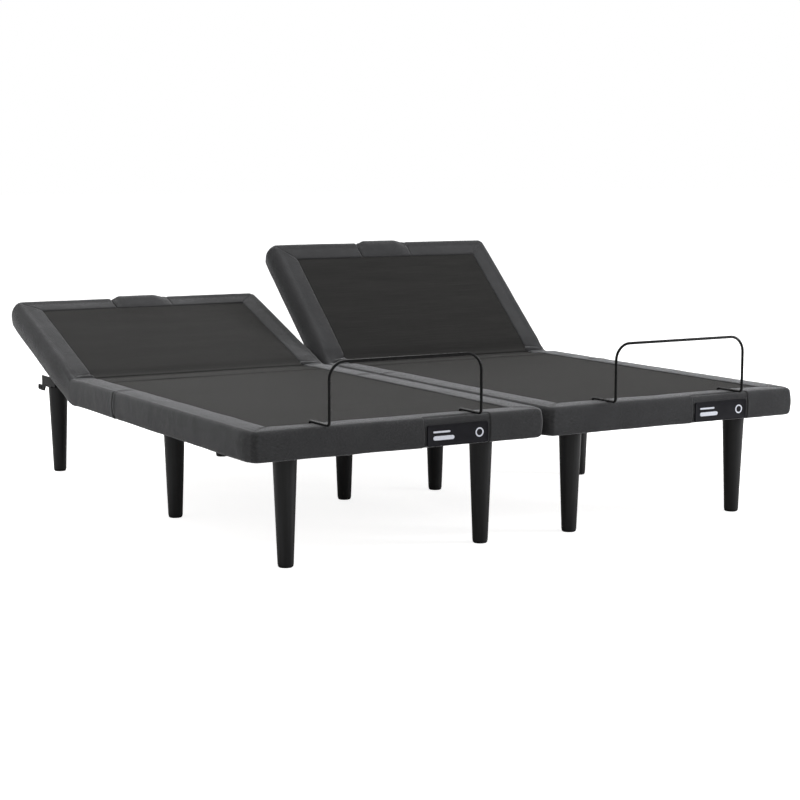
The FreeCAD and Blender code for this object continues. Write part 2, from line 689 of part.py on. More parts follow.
def hinge_half(name, x, toward, moving):
    """One half of a hinge: a plate under the board and one inner or two outer ears."""
    low, high = formula(f"({BOARD_LOW} - {{hinge_plate}})"), BOARD_LOW
    near = formula("({deck_fold_gap} + {hinge_plate_set})")
    half_width = formula("{hinge_plate_width} / 2")
    y_plate = sorted((f"{toward} * {near}", formula(f"{toward} * {{hinge_plate_end}}")), key=value)
    solids = [box(f"{name}_plate", (f"{x} - {half_width}", f"{x} + {half_width}"), y_plate, (low, high))]
    inner = formula("({ear} / 2)")
    outer = formula("({ear} / 2 + {ear_gap} + {side_ear})")
    if moving:
        spans = [(f"{x} - {inner}", f"{x} + {inner}")]
    else:
        start = formula("({ear} / 2 + {ear_gap})")
        spans = [(f"{x} - {outer}", f"{x} - {start}"), (f"{x} + {start}", f"{x} + {outer}")]
    web_y = sorted(("0", formula(f"{toward} * ({near} + {{web_overlap}})")), key=value)
    neck_y = sorted(("0", formula(f"{toward} * ({{knuckle}} / 2)")), key=value)
    for index, span in enumerate(spans):
        solids.append(cylinder(f"{name}_knuckle_{index}", "x", formula("{knuckle}"), span, ("0", "0")))
        solids.append(box(f"{name}_web_{index}", span, web_y, (low, high)))
        solids.append(box(f"{name}_neck_{index}", span, neck_y, (low, "0")))
    through = (f"{x} - {outer} - {OVERCUT}", f"{x} + {outer} + {OVERCUT}")
    bore = cylinder(f"{name}_bore", "x", formula("{pin}"), through, ("0", "0"), formula("{running_fit}"))
    return cut(name, fuse(f"{name}_blank", *solids), bore)


def hinge_halves(name, toward, moving, y="0"):
    """The hinge halves at both sides of a hinge line."""
    return [
        put(hinge_half(f"{name}_{'left' if side < 0 else 'right'}", formula(f"({side} * {{hinge_x}})"),
                       toward, moving), ("0", y, "0"))
        for side in SIDES
    ]


def hinge_pins(name, x, centre):
    """The two pins of a hinge line, from formulas for its middle in X and its Y and Z."""
    reach = formula("({ear} / 2 + {ear_gap} + {side_ear} + {pin_end})")
    parts = []
    for side in SIDES:
        middle = formula(f"({x} + {side} * {{hinge_x}})")
        hand = "left" if side < 0 else "right"
        parts.append(cylinder(f"{name}_{hand}", "x", formula("{pin}"),
                              (f"{middle} - {reach}", f"{middle} + {reach}"), centre))
    return parts


def section_frame(name, toward, end_set):
    """Long and cross tubes under a section's board; end_set is the last cross tube's far side."""
    wall = formula("{section_tube_wall}")
    levels = (TUBE_LOW, BOARD_LOW)
    side_tube = formula("{section_tube} / 2")
    first = (formula("{cross_tube_set}"), formula("{cross_tube_set} + {section_tube}"))
    last = (formula(f"{end_set} - {{section_tube}}"), end_set)
    parts = []
    reach = formula("({unit_width} / 2 - {cross_tube_inset})")
    for place, (near, far) in (("first", first), ("last", last)):
        ends = sorted((f"{toward} * ({near})", f"{toward} * ({far})"), key=value)
        parts.append(tube(f"{name}_{place}_cross", (f"-{reach}", reach), ends, levels, wall, "x"))
    run = sorted((f"{toward} * ({first[1]})", f"{toward} * ({last[0]})"), key=value)
    for side in SIDES:
        x = formula(f"({side} * {{section_rail_x}})")
        hand = "left" if side < 0 else "right"
        parts.append(tube(f"{name}_long_{hand}", (f"{x} - {side_tube}", f"{x} + {side_tube}"),
                          run, levels, wall, "y"))
    return parts


def lift_lever(name, x, toward, swing):
    """A pair of slotted lever plates below a section's first cross tube.

    The plates are drawn with the slot hanging straight down, as at half lift, and turned back by
    half the swing, so the thrust pin runs along the slot as the section lifts.
    """
    half = f"({swing} / 2)"

    def turned_back(y, z):
        """A point of the flat section, seen with the slot hanging down."""
        angle = f"({toward} * {half})"
        return (f"({y}) * cos({angle}) - ({z}) * sin({angle})",
                f"({y}) * sin({angle}) + ({z}) * cos({angle})")

    near = formula("{cross_tube_set}")
    far = formula("({cross_tube_set} + {section_tube})")
    tip = formula("{lever_tip}")
    flat = formula("({lever_tip} * {lever_flat})")
    slot_top = formula("{lever_drop}")
    slot_end = formula(f"({{lever_drop}} / cos({half}))")
    points = [
        turned_back(f"{toward} * {near}", TUBE_LOW),
        turned_back(f"{toward} * {far}", TUBE_LOW),
        (f"{toward} * {tip}", f"-{slot_top}"),
        (f"{toward} * {flat}", f"-{slot_end} - {tip}"),
        (f"-{toward} * {flat}", f"-{slot_end} - {tip}"),
        (f"-{toward} * {tip}", f"-{slot_top}"),
    ]
    parts = []
    gap = formula("{lever_gap} / 2")
    thick = formula("{lever_plate}")
    slot_radius = formula("({thrust_pin} / 2 + {slot_clearance})")
    for side in SIDES:
        hand = "left" if side < 0 else "right"
        ends = sorted((f"{x} + {side} * {gap}", f"{x} + {side} * ({gap} + {thick})"), key=value)
        blank = plate(f"{name}_{hand}_blank", points, ends)
        through = (f"{ends[0]} - {OVERCUT}", f"{ends[1]} + {OVERCUT}")
        run = (formula(f"-{slot_end} - {{slot_room}}"), formula(f"-{slot_top} + {{slot_room}}"))
        upper = cylinder(f"{name}_{hand}_slot_top", "x", f"2 * {slot_radius}", through, ("0", run[1]))
        lower = cylinder(f"{name}_{hand}_slot_end", "x", f"2 * {slot_radius}", through, ("0", run[0]))
        middle = box(f"{name}_{hand}_slot_middle", through, (f"-{slot_radius}", slot_radius), run)
        lever = cut(f"{name}_{hand}", blank, fuse(f"{name}_{hand}_slot", upper, middle, lower))
        parts.append(put(lever, ("0", "0", "0"), (1, 0, 0), f"-{toward} * {half}"))
    return parts


def massager(name, y):
    """A vibration motor under a deck board."""
    return cylinder(name, "z", formula("{massager}"),
                    (formula(f"{BOARD_LOW} - {{massager_height}}"), BOARD_LOW), ("0", y))


def make_head_section(unit, sign):
    """Head section, drawn flat about its hinge axis and turned to the angle that it stands at."""
    length = formula("({unit_length} - {head_hinge_y})")
    name = f"{unit}_head"
    place = hinge_place(sign, formula("{head_hinge_y}"))
    pose = (place, (1, 0, 0), formula(f"{{{name}_angle}}"))
    start = formula("{deck_fold_gap}")
    inner_end = formula(f"({length} - {{border_width}})")
    skirt_end = formula(f"({length} - {{skirt_pad}})")
    board, pad = deck(name, (start, skirt_end), (start, inner_end))
    node(f"{name}_deck_board", [board], *pose)
    node(f"{name}_deck_pad", [pad], *pose)
    sides = border_sides(
        f"{name}_border",
        lambda low, high: fold_end("0", 1, low, high, True),
        lambda low, high: square_end(inner_end, low, high),
        lambda low, high: square_end(skirt_end, low, high))
    node(f"{name}_border", sides + border_end(f"{name}_border", length, 1), *pose)
    base, top = formula("{hump_base} / 2"), formula("{hump_top} / 2")
    hump_body = doc.addObject("PartDesign::Body", f"{name}_grip")
    profile = sketch_on(hump_body, f"{name}_grip_profile", "XZ_Plane")
    crest = formula(f"{BORDER_TOP} + {{hump_rise}}")
    outline(profile, [(f"-{base}", BORDER_TOP), (base, BORDER_TOP), (top, crest), (f"-{top}", crest)])
    hump_pad = hump_body.newObject("PartDesign::Pad", f"{name}_grip_block")
    hump_pad.Profile = profile
    hump_pad.setExpression("Length", formula("{border_width}"))
    put(hump_body, ("0", length, "0"))
    node(f"{name}_grip_pad", [hump_body], *pose)
    frame = section_frame(f"{name}_frame", 1, formula(f"({length} - {{end_tube_set}})"))
    lever = lift_lever(f"{name}_lever", formula("{lever_x}"), 1, formula("{head_lift}"))
    node(f"{name}_frame", frame + lever + hinge_halves(f"{name}_hinge", 1, True), *pose)
    node(f"{name}_massage_motor", [massager(f"{name}_massager", f"{length} / 2")], *pose)


def make_thigh_section(unit, sign):
    """Thigh section: hinged to the seat at its head side, with the knee hinge at its foot side."""
    reach = formula("({thigh_hinge_y} - {knee_y})")
    name = f"{unit}_thigh"
    place = hinge_place(sign, formula("{thigh_hinge_y}"))
    gap = formula("{deck_fold_gap}")
    run = (f"-({reach} - {gap})", f"-{gap}")

    def knee_end(low, high):
        """The side by the knee hinge."""
        return fold_end(f"-{reach}", 1, low, high, False)

    board, pad = deck(name, run, run)
    node(f"{name}_deck_board", [board], place)
    node(f"{name}_deck_pad", [pad], place)
    sides = border_sides(f"{name}_border",
                         lambda low, high: fold_end("0", -1, low, high, True), knee_end, knee_end)
    node(f"{name}_border", sides, place)
    frame = section_frame(f"{name}_frame", -1, formula(f"({reach} - {{end_tube_set}})"))
    lever = lift_lever(f"{name}_lever", formula("-{lever_x}"), -1, formula("{thigh_lift}"))
    hinges = hinge_halves(f"{name}_hinge", -1, True)
    hinges += hinge_halves(f"{name}_knee_hinge", 1, False, f"-{reach}")
    pins = hinge_pins(f"{name}_knee_pin", "0", (f"-{reach}", "0"))
    node(f"{name}_frame", frame + lever + hinges + pins, place)


def make_foot_section(unit, sign):
    """Foot section, with the mattress retainer bar, its sockets and the name plate."""
    length = formula("{knee_y}")
    name = f"{unit}_foot"
    place = hinge_place(sign, length)
    gap = formula("{deck_fold_gap}")
    inner_end = formula(f"-({length} - {{border_width}})")
    skirt_end = formula(f"-({length} - {{skirt_pad}})")
    bar_x = [formula(f"({{bar_offset}} + {side} * {{bar_span}} / 2)") for side in SIDES]
    socket_y = formula(f"({{bar_socket_y}} - {length})")
    holes = [((x, socket_y), formula("{socket}")) for x in bar_x]
    board, pad = deck(name, (skirt_end, f"-{gap}"), (inner_end, f"-{gap}"), holes)
    node(f"{name}_deck_board", [board], place)
    node(f"{name}_deck_pad", [pad], place)
    sides = border_sides(
        f"{name}_border",
        lambda low, high: fold_end("0", -1, low, high, False),
        lambda low, high: square_end(inner_end, low, high),
        lambda low, high: square_end(skirt_end, low, high))
    node(f"{name}_border", sides + border_end(f"{name}_border", f"-{length}", -1), place)
    frame_end = formula(f"({length} - {{border_width}} - {{end_tube_set}})")
    hinges = hinge_halves(f"{name}_hinge", -1, True)
    node(f"{name}_frame", section_frame(f"{name}_frame", -1, frame_end) + hinges, place)
    sockets = []
    socket_low = formula(f"({BOARD_LOW} - {{socket_stand}})")
    for index, x in enumerate(bar_x):
        bush = cylinder(f"{name}_socket_bush_{index}", "z", formula("{socket}"),
                        (socket_low, PAD_TOP), (x, socket_y))
        bore = cylinder(f"{name}_socket_bore_{index}", "z", formula("{wire}"),
                        (f"{socket_low} - {OVERCUT}", f"{PAD_TOP} + {OVERCUT}"), (x, socket_y),
                        formula("{running_fit}"))
        sockets.append(cut(f"{name}_socket_{index}", bush, bore))
    node(f"{unit}_retainer_sockets", sockets, place)
    node(f"{unit}_retainer_bar", [retainer_bar(f"{unit}_bar_wire", bar_x, socket_y)], place)
    top = formula(f"({BORDER_TOP} - {{badge_drop}})")
    x = formula("{badge_x}")
    half = formula("{badge_width} / 2")
    badge = box(f"{unit}_badge", (f"{x} - {half}", f"{x} + {half}"),
                (formula(f"-{length} - {{badge_depth}}"), f"-{length}"),
                (formula(f"{top} - {{badge_height}}"), top))
    node(f"{unit}_name_plate", [badge], place)


def retainer_bar(name, bar_x, socket_y):
    """Bent wire: down into its sockets, forward over the border, up and across."""
    length, wire = value(formula("{knee_y}")), value(formula("{wire}"))
    low = value(BOARD_LOW) + value(formula("{bar_foot_set}"))
    run_z = value(BORDER_TOP) + wire / 2 + value(formula("{rest_gap}"))
    front = -length - value(formula("{bar_stand}"))
    top = value(formula("{bar_height}")) - value(HINGE_Z)
    back = value(socket_y)
    left, right = (value(x) for x in bar_x)
    bend, corner = value(formula("{bar_bend}")), value(formula("{bar_corner}"))
    tight = wire
    stops = [
        ((left, back, low), 0), ((left, back, run_z), tight), ((left, front, run_z), bend),
        ((left, front, top), corner), ((right, front, top), corner), ((right, front, run_z), bend),
        ((right, back, run_z), tight), ((right, back, low), 0),
    ]
    points = [FreeCAD.Vector(*spot) for spot, _ in stops]
    edges = []
    start = points[0]
    for index in range(1, len(stops) - 1):
        radius = stops[index][1]
        before = (points[index - 1] - points[index]).normalize()
        after = (points[index + 1] - points[index]).normalize()
        begin, finish = points[index] + before * radius, points[index] + after * radius
        centre = points[index] + (before + after) * radius
        middle = centre - (before + after).normalize() * radius
        edges.append(Part.LineSegment(start, begin).toShape())
        edges.append(Part.Arc(begin, middle, finish).toShape())
        start = finish
    edges.append(Part.LineSegment(start, points[-1]).toShape())
    path = Part.Wire(edges)
    ring = Part.Wire([Part.Circle(points[0], FreeCAD.Vector(0, 0, 1), wire / 2).toShape()])
    wire_object = doc.addObject("Part::Feature", name)
    wire_object.Shape = path.makePipeShell([ring], True, False)
    return wire_object


def make_seat_sections():
    """The fixed seat sections of both units and the bearers that carry them on the chassis."""
    length = formula("({head_hinge_y} - {thigh_hinge_y})")
    gap = formula("{deck_fold_gap}")
    run = (gap, f"{length} - {gap}")
    width = formula("{section_tube}")
    bearer_rows = (("front", formula("{bearer_set}")),
                   ("rear", formula(f"({length} - {{bearer_set}} - {width})")))
    bearer_z = (f"{CHASSIS_TOP} - {HINGE_Z}", BOARD_LOW)
    reach = formula(f"({HALF} - {{skirt_pad}})")
    pieces = {"deck_boards": [], "deck_pads": [], "borders": [], "bearers": []}

    def thigh_end(low, high):
        """The side by the thigh hinge."""
        return fold_end("0", 1, low, high, True)

    def head_end(low, high):
        """The side by the head hinge."""
        return fold_end(length, -1, low, high, True)

    for unit, sign in UNITS:
        name = f"{unit}_seat"
        board, pad = deck(name, run, run)
        pieces["deck_boards"].append([board])
        pieces["deck_pads"].append([pad])
        pieces["borders"].append(border_sides(f"{name}_border", thigh_end, head_end, head_end))
        pieces["bearers"].append([
            tube(f"{name}_bearer_{row}", (f"-{reach}", reach), (y, f"{y} + {width}"), bearer_z,
                 formula("{section_tube_wall}"), "x")
            for row, y in bearer_rows
        ])
    for kind, both in pieces.items():
        units = [put(bundle(f"{unit}_seat_{kind}", parts), hinge_place(sign, formula("{thigh_hinge_y}")))
                 for (unit, sign), parts in zip(UNITS, both)]
        node(f"seat_{kind}", units)


def make_fixed_hinges():
    """Fixed hinge halves on the seat sections, and the pins of the head and thigh hinges."""
    halves, pins = [], []
    for unit, sign in UNITS:
        for line, hinge_y, toward in (
            ("head", formula("{head_hinge_y}"), -1),
            ("thigh", formula("{thigh_hinge_y}"), 1),
        ):
            place = hinge_place(sign, hinge_y)
            line_halves = hinge_halves(f"{unit}_{line}_fixed_hinge", toward, False)
            halves.append(put(bundle(f"{unit}_{line}_fixed_hinges", line_halves), place))
            pins += hinge_pins(f"{unit}_{line}_pin", place[0], place[1:])
    node("fixed_hinges", halves)
    node("hinge_pins", pins)


# ---------------------------------------------------------------- actuators

def actuator_parts(name, tube_end, motor_side):
    """Housing with rear eye and guide tube, and its motor; drawn along +Y from the rear pin."""
    half = formula("({housing_side} / 2)")
    eye_half = formula("({eye_width} / 2)")
    y = (formula("{housing_start}"), formula("{housing_end}"))
    housing = box(f"{name}_housing", (f"-{half}", half), y, (f"-{half}", half))
    neck = box(f"{name}_neck", (f"-{eye_half}", eye_half), ("0", f"{y[0]} + {OVERCUT}"),
               (f"-{eye_half}", eye_half))
    eye = cylinder(f"{name}_rear_eye", "x", formula("{eye_width}"), (f"-{eye_half}", eye_half),
                   ("0", "0"))
    guide = cylinder(f"{name}_guide", "y", formula("{actuator_tube}"), (f"{y[1]} - {OVERCUT}", tube_end),
                     ("0", "0"))
    bore = cylinder(f"{name}_guide_bore", "y", formula("{rod}"),
                    (formula(f"{tube_end} - {{bore_depth}}"), f"{tube_end} + {OVERCUT}"), ("0", "0"),
                    formula("{running_fit}"))
    rear_hole = cylinder(f"{name}_rear_hole", "x", formula("{thrust_pin}"),
                         (f"-{eye_half} - {OVERCUT}", f"{eye_half} + {OVERCUT}"), ("0", "0"),
                         formula("{running_fit}"))
    body = cut(name, fuse(f"{name}_blank", housing, neck, eye, guide), bore, rear_hole)
    motor_x = formula(f"({motor_side} * ({{housing_side}} + {{motor}}) / 2)")
    can = (formula(f"{y[0]} + {{motor_set}}"), formula(f"{y[1]} - {{motor_set}}"))
    foot = (formula(f"{y[0]} + {{motor_foot_set}}"), formula(f"{y[1]} - {{motor_foot_set}}"))
    motor = cylinder(f"{name}_motor_can", "y", formula("{motor}"), can, (motor_x, "0"))
    flat = box(f"{name}_motor_foot", sorted((f"{motor_side} * {half}", motor_x), key=value), foot,
               (f"-{eye_half}", eye_half))
    return body, fuse(f"{name}_motor", motor, flat)


def rod_part(name):
    """Actuator rod with its eye and thrust pin, drawn pointing along +Y with the pin at 0."""
    eye_half = formula("({eye_width} / 2)")
    pin_half = formula("({lever_gap} / 2 + {lever_plate} + {pin_stand})")
    shaft = cylinder(f"{name}_shaft", "y", formula("{rod}"), (formula("-{rod_length}"), "0"), ("0", "0"))
    eye = cylinder(f"{name}_eye", "x", formula("{eye}"), (f"-{eye_half}", eye_half), ("0", "0"))
    pin = cylinder(f"{name}_pin", "x", formula("{thrust_pin}"), (f"-{pin_half}", pin_half), ("0", "0"))
    return fuse(name, shaft, eye, pin)


def rear_bracket(name):
    """Two plates that hang from a crossmember and hold the actuator's rear pin."""
    eye_half = formula("({eye_width} / 2 + {ear_gap})")
    thick = formula("{bracket_plate}")
    hang = f"({CHASSIS_LOW} - {THRUST_Z})"
    hole = [(("0", "0"), formula("({thrust_pin} / 2 + {running_fit})"))]
    wide, narrow = formula("{hanger_half}"), formula("({hanger_half} - {hanger_bevel})")
    points = [(f"-{wide}", f"-{narrow}"), (f"-{narrow}", f"-{wide}"), (narrow, f"-{wide}"),
              (wide, f"-{narrow}"), (wide, hang), (f"-{wide}", hang)]
    parts = []
    for side in SIDES:
        ends = sorted((f"{side} * {eye_half}", f"{side} * ({eye_half} + {thick})"), key=value)
        parts.append((plate(f"{name}_{'left' if side < 0 else 'right'}", points, ends, hole), ends[0]))
    return parts


def make_actuators():
    """Head and leg actuators of both units, their brackets, rear pins and rods."""
    bodies, motors, brackets, rear_pins = [], [], [], []
    radian = "(pi / 180)"
    head_pin_flat = formula("(-{lever_drop} * {head_rod_gain} * {head_lift} / 2) * " + radian)
    leg_pin_flat = formula("({lever_drop} * {leg_rod_gain} * {thigh_lift} / 2) * " + radian)
    front_room = formula("{tube_setback}")
    for unit, sign in UNITS:
        rest = formula(f"{{{unit}_head_angle}}")
        head_travel = formula(f"({{lever_drop}} * {{head_rod_gain}} * {rest}) * {radian}")
        head_rear, leg_rear = formula("{mid_cross_y}"), formula("{rear_cross_y}")
        head_hinge, thigh_hinge = formula("{head_hinge_y}"), formula("{thigh_hinge_y}")
        for kind, forward, x, rear, pin_flat, pin_now in (
            ("head", 1, formula("{lever_x}"), head_rear, f"({head_hinge} + {head_pin_flat})",
             f"({head_hinge} + {head_pin_flat} + {head_travel})"),
            ("leg", -1, formula("-{lever_x}"), leg_rear, f"({thigh_hinge} + {leg_pin_flat})",
             f"({thigh_hinge} + {leg_pin_flat})"),
        ):
            name = f"{unit}_{kind}_actuator"
            tube_end = f"({forward} * ({pin_flat} - {rear}) - {front_room})"
            body, motor = actuator_parts(name, tube_end, 1)
            turn = ((0, 0, 1), "0" if forward > 0 else "180")
            place = (f"{unit_x(sign)} + {x}", f"{rear} - {MIDDLE_Y}", THRUST_Z)
            bodies.append(put(body, place, *turn))
            motors.append(put(motor, place, *turn))
            for bracket, low_x in rear_bracket(f"{name}_bracket"):
                brackets.append(put(bracket, (f"{place[0]} + {low_x}", place[1], place[2])))
            pin_half = formula("({eye_width} / 2 + {ear_gap} + {bracket_plate} + {pin_stand})")
            rear_pins.append(cylinder(f"{name}_rear_pin", "x", formula("{thrust_pin}"),
                                      (f"{place[0]} - {pin_half}", f"{place[0]} + {pin_half}"),
                                      (place[1], place[2])))
            rod = rod_part(f"{unit}_{kind}_rod_solid")
            node(f"{unit}_{kind}_actuator_rod", [rod],
                 (place[0], f"{pin_now} - {MIDDLE_Y}", THRUST_Z), *turn)
    node("actuators", bodies)
    node("actuator_motors", motors)
    node("actuator_brackets", brackets)
    node("actuator_rear_pins", rear_pins)


# ---------------------------------------------------------------- assembly

make_legs()
for unit_name, unit_sign in UNITS:
    make_chassis(unit_name, unit_sign)
    make_head_section(unit_name, unit_sign)
    make_thigh_section(unit_name, unit_sign)
    make_foot_section(unit_name, unit_sign)
make_seat_sections()
make_fixed_hinges()
make_actuators()
make_ties()
make_headboard_brackets()
make_bumpers()
make_electrics()
doc.recompute()

# ---------------------------------------------------------------- checks and files

for thing in doc.Objects:
    if {"Invalid", "Error"} & set(thing.State):
        raise RuntimeError(f"{thing.Name} failed: {thing.State}")
os.makedirs("parts", exist_ok=True)
for part in nodes:
    if part.Shape.isNull() or not part.Shape.isValid() or not part.Shape.Solids:
        raise RuntimeError(f"{part.Label} has no valid solid")
for part in nodes:
    part.Shape.exportStep(os.path.join("parts", f"{part.Label}.step"))
print(len(nodes), "sub-parts,", sum(len(part.Shape.Solids) for part in nodes), "solids")
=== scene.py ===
import json
import math

import bpy
import numpy as np
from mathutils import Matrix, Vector, noise

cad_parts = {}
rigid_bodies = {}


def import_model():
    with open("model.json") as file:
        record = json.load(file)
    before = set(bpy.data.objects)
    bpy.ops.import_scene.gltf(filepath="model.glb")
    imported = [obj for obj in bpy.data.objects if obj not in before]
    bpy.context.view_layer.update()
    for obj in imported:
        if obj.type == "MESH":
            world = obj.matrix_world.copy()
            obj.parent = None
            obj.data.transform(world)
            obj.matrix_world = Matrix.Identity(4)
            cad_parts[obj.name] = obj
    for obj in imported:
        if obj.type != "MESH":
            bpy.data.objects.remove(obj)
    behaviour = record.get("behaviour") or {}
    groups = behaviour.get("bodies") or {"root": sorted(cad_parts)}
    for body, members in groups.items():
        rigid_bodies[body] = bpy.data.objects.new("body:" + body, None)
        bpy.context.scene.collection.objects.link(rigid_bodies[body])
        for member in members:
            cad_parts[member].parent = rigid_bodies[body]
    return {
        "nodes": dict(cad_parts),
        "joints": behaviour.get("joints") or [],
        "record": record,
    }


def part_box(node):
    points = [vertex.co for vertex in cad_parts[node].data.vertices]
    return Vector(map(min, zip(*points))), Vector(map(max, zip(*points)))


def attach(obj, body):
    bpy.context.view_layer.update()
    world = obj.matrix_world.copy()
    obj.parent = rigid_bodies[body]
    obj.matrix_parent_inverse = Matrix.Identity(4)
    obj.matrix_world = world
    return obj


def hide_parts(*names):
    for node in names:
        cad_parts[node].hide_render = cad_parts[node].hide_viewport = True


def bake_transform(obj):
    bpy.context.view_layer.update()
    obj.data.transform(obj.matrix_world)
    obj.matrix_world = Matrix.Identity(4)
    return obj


leftovers = list(bpy.data.objects)
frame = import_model()
for leftover in leftovers:
    bpy.data.objects.remove(leftover, do_unlink=True)
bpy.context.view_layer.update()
NODES = frame["nodes"]
JOINTS = {joint["name"]: joint for joint in frame["joints"]}


# ------------------------------------------------------------ measures taken from the frame


class Unit:
    """Where one bed base's sections, hinges and levels are, read from the CAD frame."""

    def __init__(self, name):
        self.name = name
        low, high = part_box(f"{name}_foot_border")
        self.x = (low.x + high.x) / 2
        self.half = (high.x - low.x) / 2
        self.top, self.bottom, self.foot_y = high.z, low.z, low.y
        deck_low, deck_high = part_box(f"{name}_foot_deck_pad")
        self.deck_half = (deck_high.x - deck_low.x) / 2
        self.deck_top, self.board_top = deck_high.z, deck_low.z
        self.border = self.half - self.deck_half
        self.head_hinge = Vector(JOINTS[f"{name}_head_tilt"]["pos_m"])
        self.thigh_hinge = Vector(JOINTS[f"{name}_thigh_lift"]["pos_m"])
        self.knee = Vector(JOINTS[f"{name}_knee_fold"]["pos_m"])
        self.tilt = math.radians(-JOINTS[f"{name}_head_tilt"]["range_deg"][0])
        self.seed = 3 + len(name)
        self.head_y = max(self.flat_y(vertex.co) for vertex in NODES[f"{name}_head_border"].data.vertices)

    def flat_y(self, point):
        """How far along the bed a point of the head section is once the section is laid flat."""
        offset = point - self.head_hinge
        return self.head_hinge.y + offset.y * math.cos(self.tilt) + offset.z * math.sin(self.tilt)


BEDS = {name: Unit(name) for name in ("left", "right")}
FOLD = 0.070          # half the length over which cloth turns at the head and thigh hinges
SEAT_SPLIT = 0.2      # where the seat's cover passes from the head fold to the thigh fold
THIGH_SPLIT = -0.2    # where it passes from the thigh fold to the knee fold
HINGE_PANEL = 0.255   # front edge of the narrow deck panel in front of the head hinge
DECK_CROWN = 0.0016   # the deck cloth stands this far above the pad under it
FULL_SIDE = 0.0055    # the border's padding stands this far out past the section's side
STATION_STEP = 0.014  # usual distance between two stations along a border
TUCK = 0.0012         # how far a deck panel reaches under the border's inner edge
CORNER = 0.018        # radius of a border's outer corner, seen from above
PATCH_MARGIN = 0.008  # the sewn patch stands this far past the name plate's ends
# A stitch from end to end: share of its length, and its thickness and rise as shares of the thread's.
STITCH = ((0.0, 0.25, -0.5), (0.18, 0.9, 0.35), (0.5, 1.0, 0.75), (0.82, 0.9, 0.35), (1.0, 0.25, -0.5))


def smooth(t):
    """0 below 0, 1 above 1, and a soft step between."""
    t = np.clip(t, 0.0, 1.0)
    return t * t * (3 - 2 * t)


def bump(x, centre, width):
    """A bell of height 1 round a centre."""
    return np.exp(-(((x - centre) / width) ** 2))


def head_fold(bed):
    """Start and end of the head fold, square to the line that halves the angle as it stands."""
    lean = Vector((0, math.cos(bed.tilt / 2), math.sin(bed.tilt / 2)))
    return bed.head_hinge - lean * FOLD, bed.head_hinge + lean * FOLD


def lay_back(bed, points):
    """Flat points of the head section turned up to where they stand, cloth near the hinge in proportion."""
    start, end = head_fold(bed)
    start, end = np.array(start), np.array(end)
    pivot = np.array(bed.head_hinge)
    flat = np.asarray(points, float) - pivot
    share = smooth(0.5 + flat[:, 1] / (2 * FOLD))
    for _ in range(60):
        angle = share * bed.tilt
        y = flat[:, 1] * np.cos(angle) - flat[:, 2] * np.sin(angle)
        z = flat[:, 1] * np.sin(angle) + flat[:, 2] * np.cos(angle)
        at = np.stack([flat[:, 0], y, z], 1) + pivot
        along = ((at - start) @ (end - start)) / ((end - start) @ (end - start))
        share = 0.5 * share + 0.5 * smooth(along)
    return at


# ------------------------------------------------------------ materials


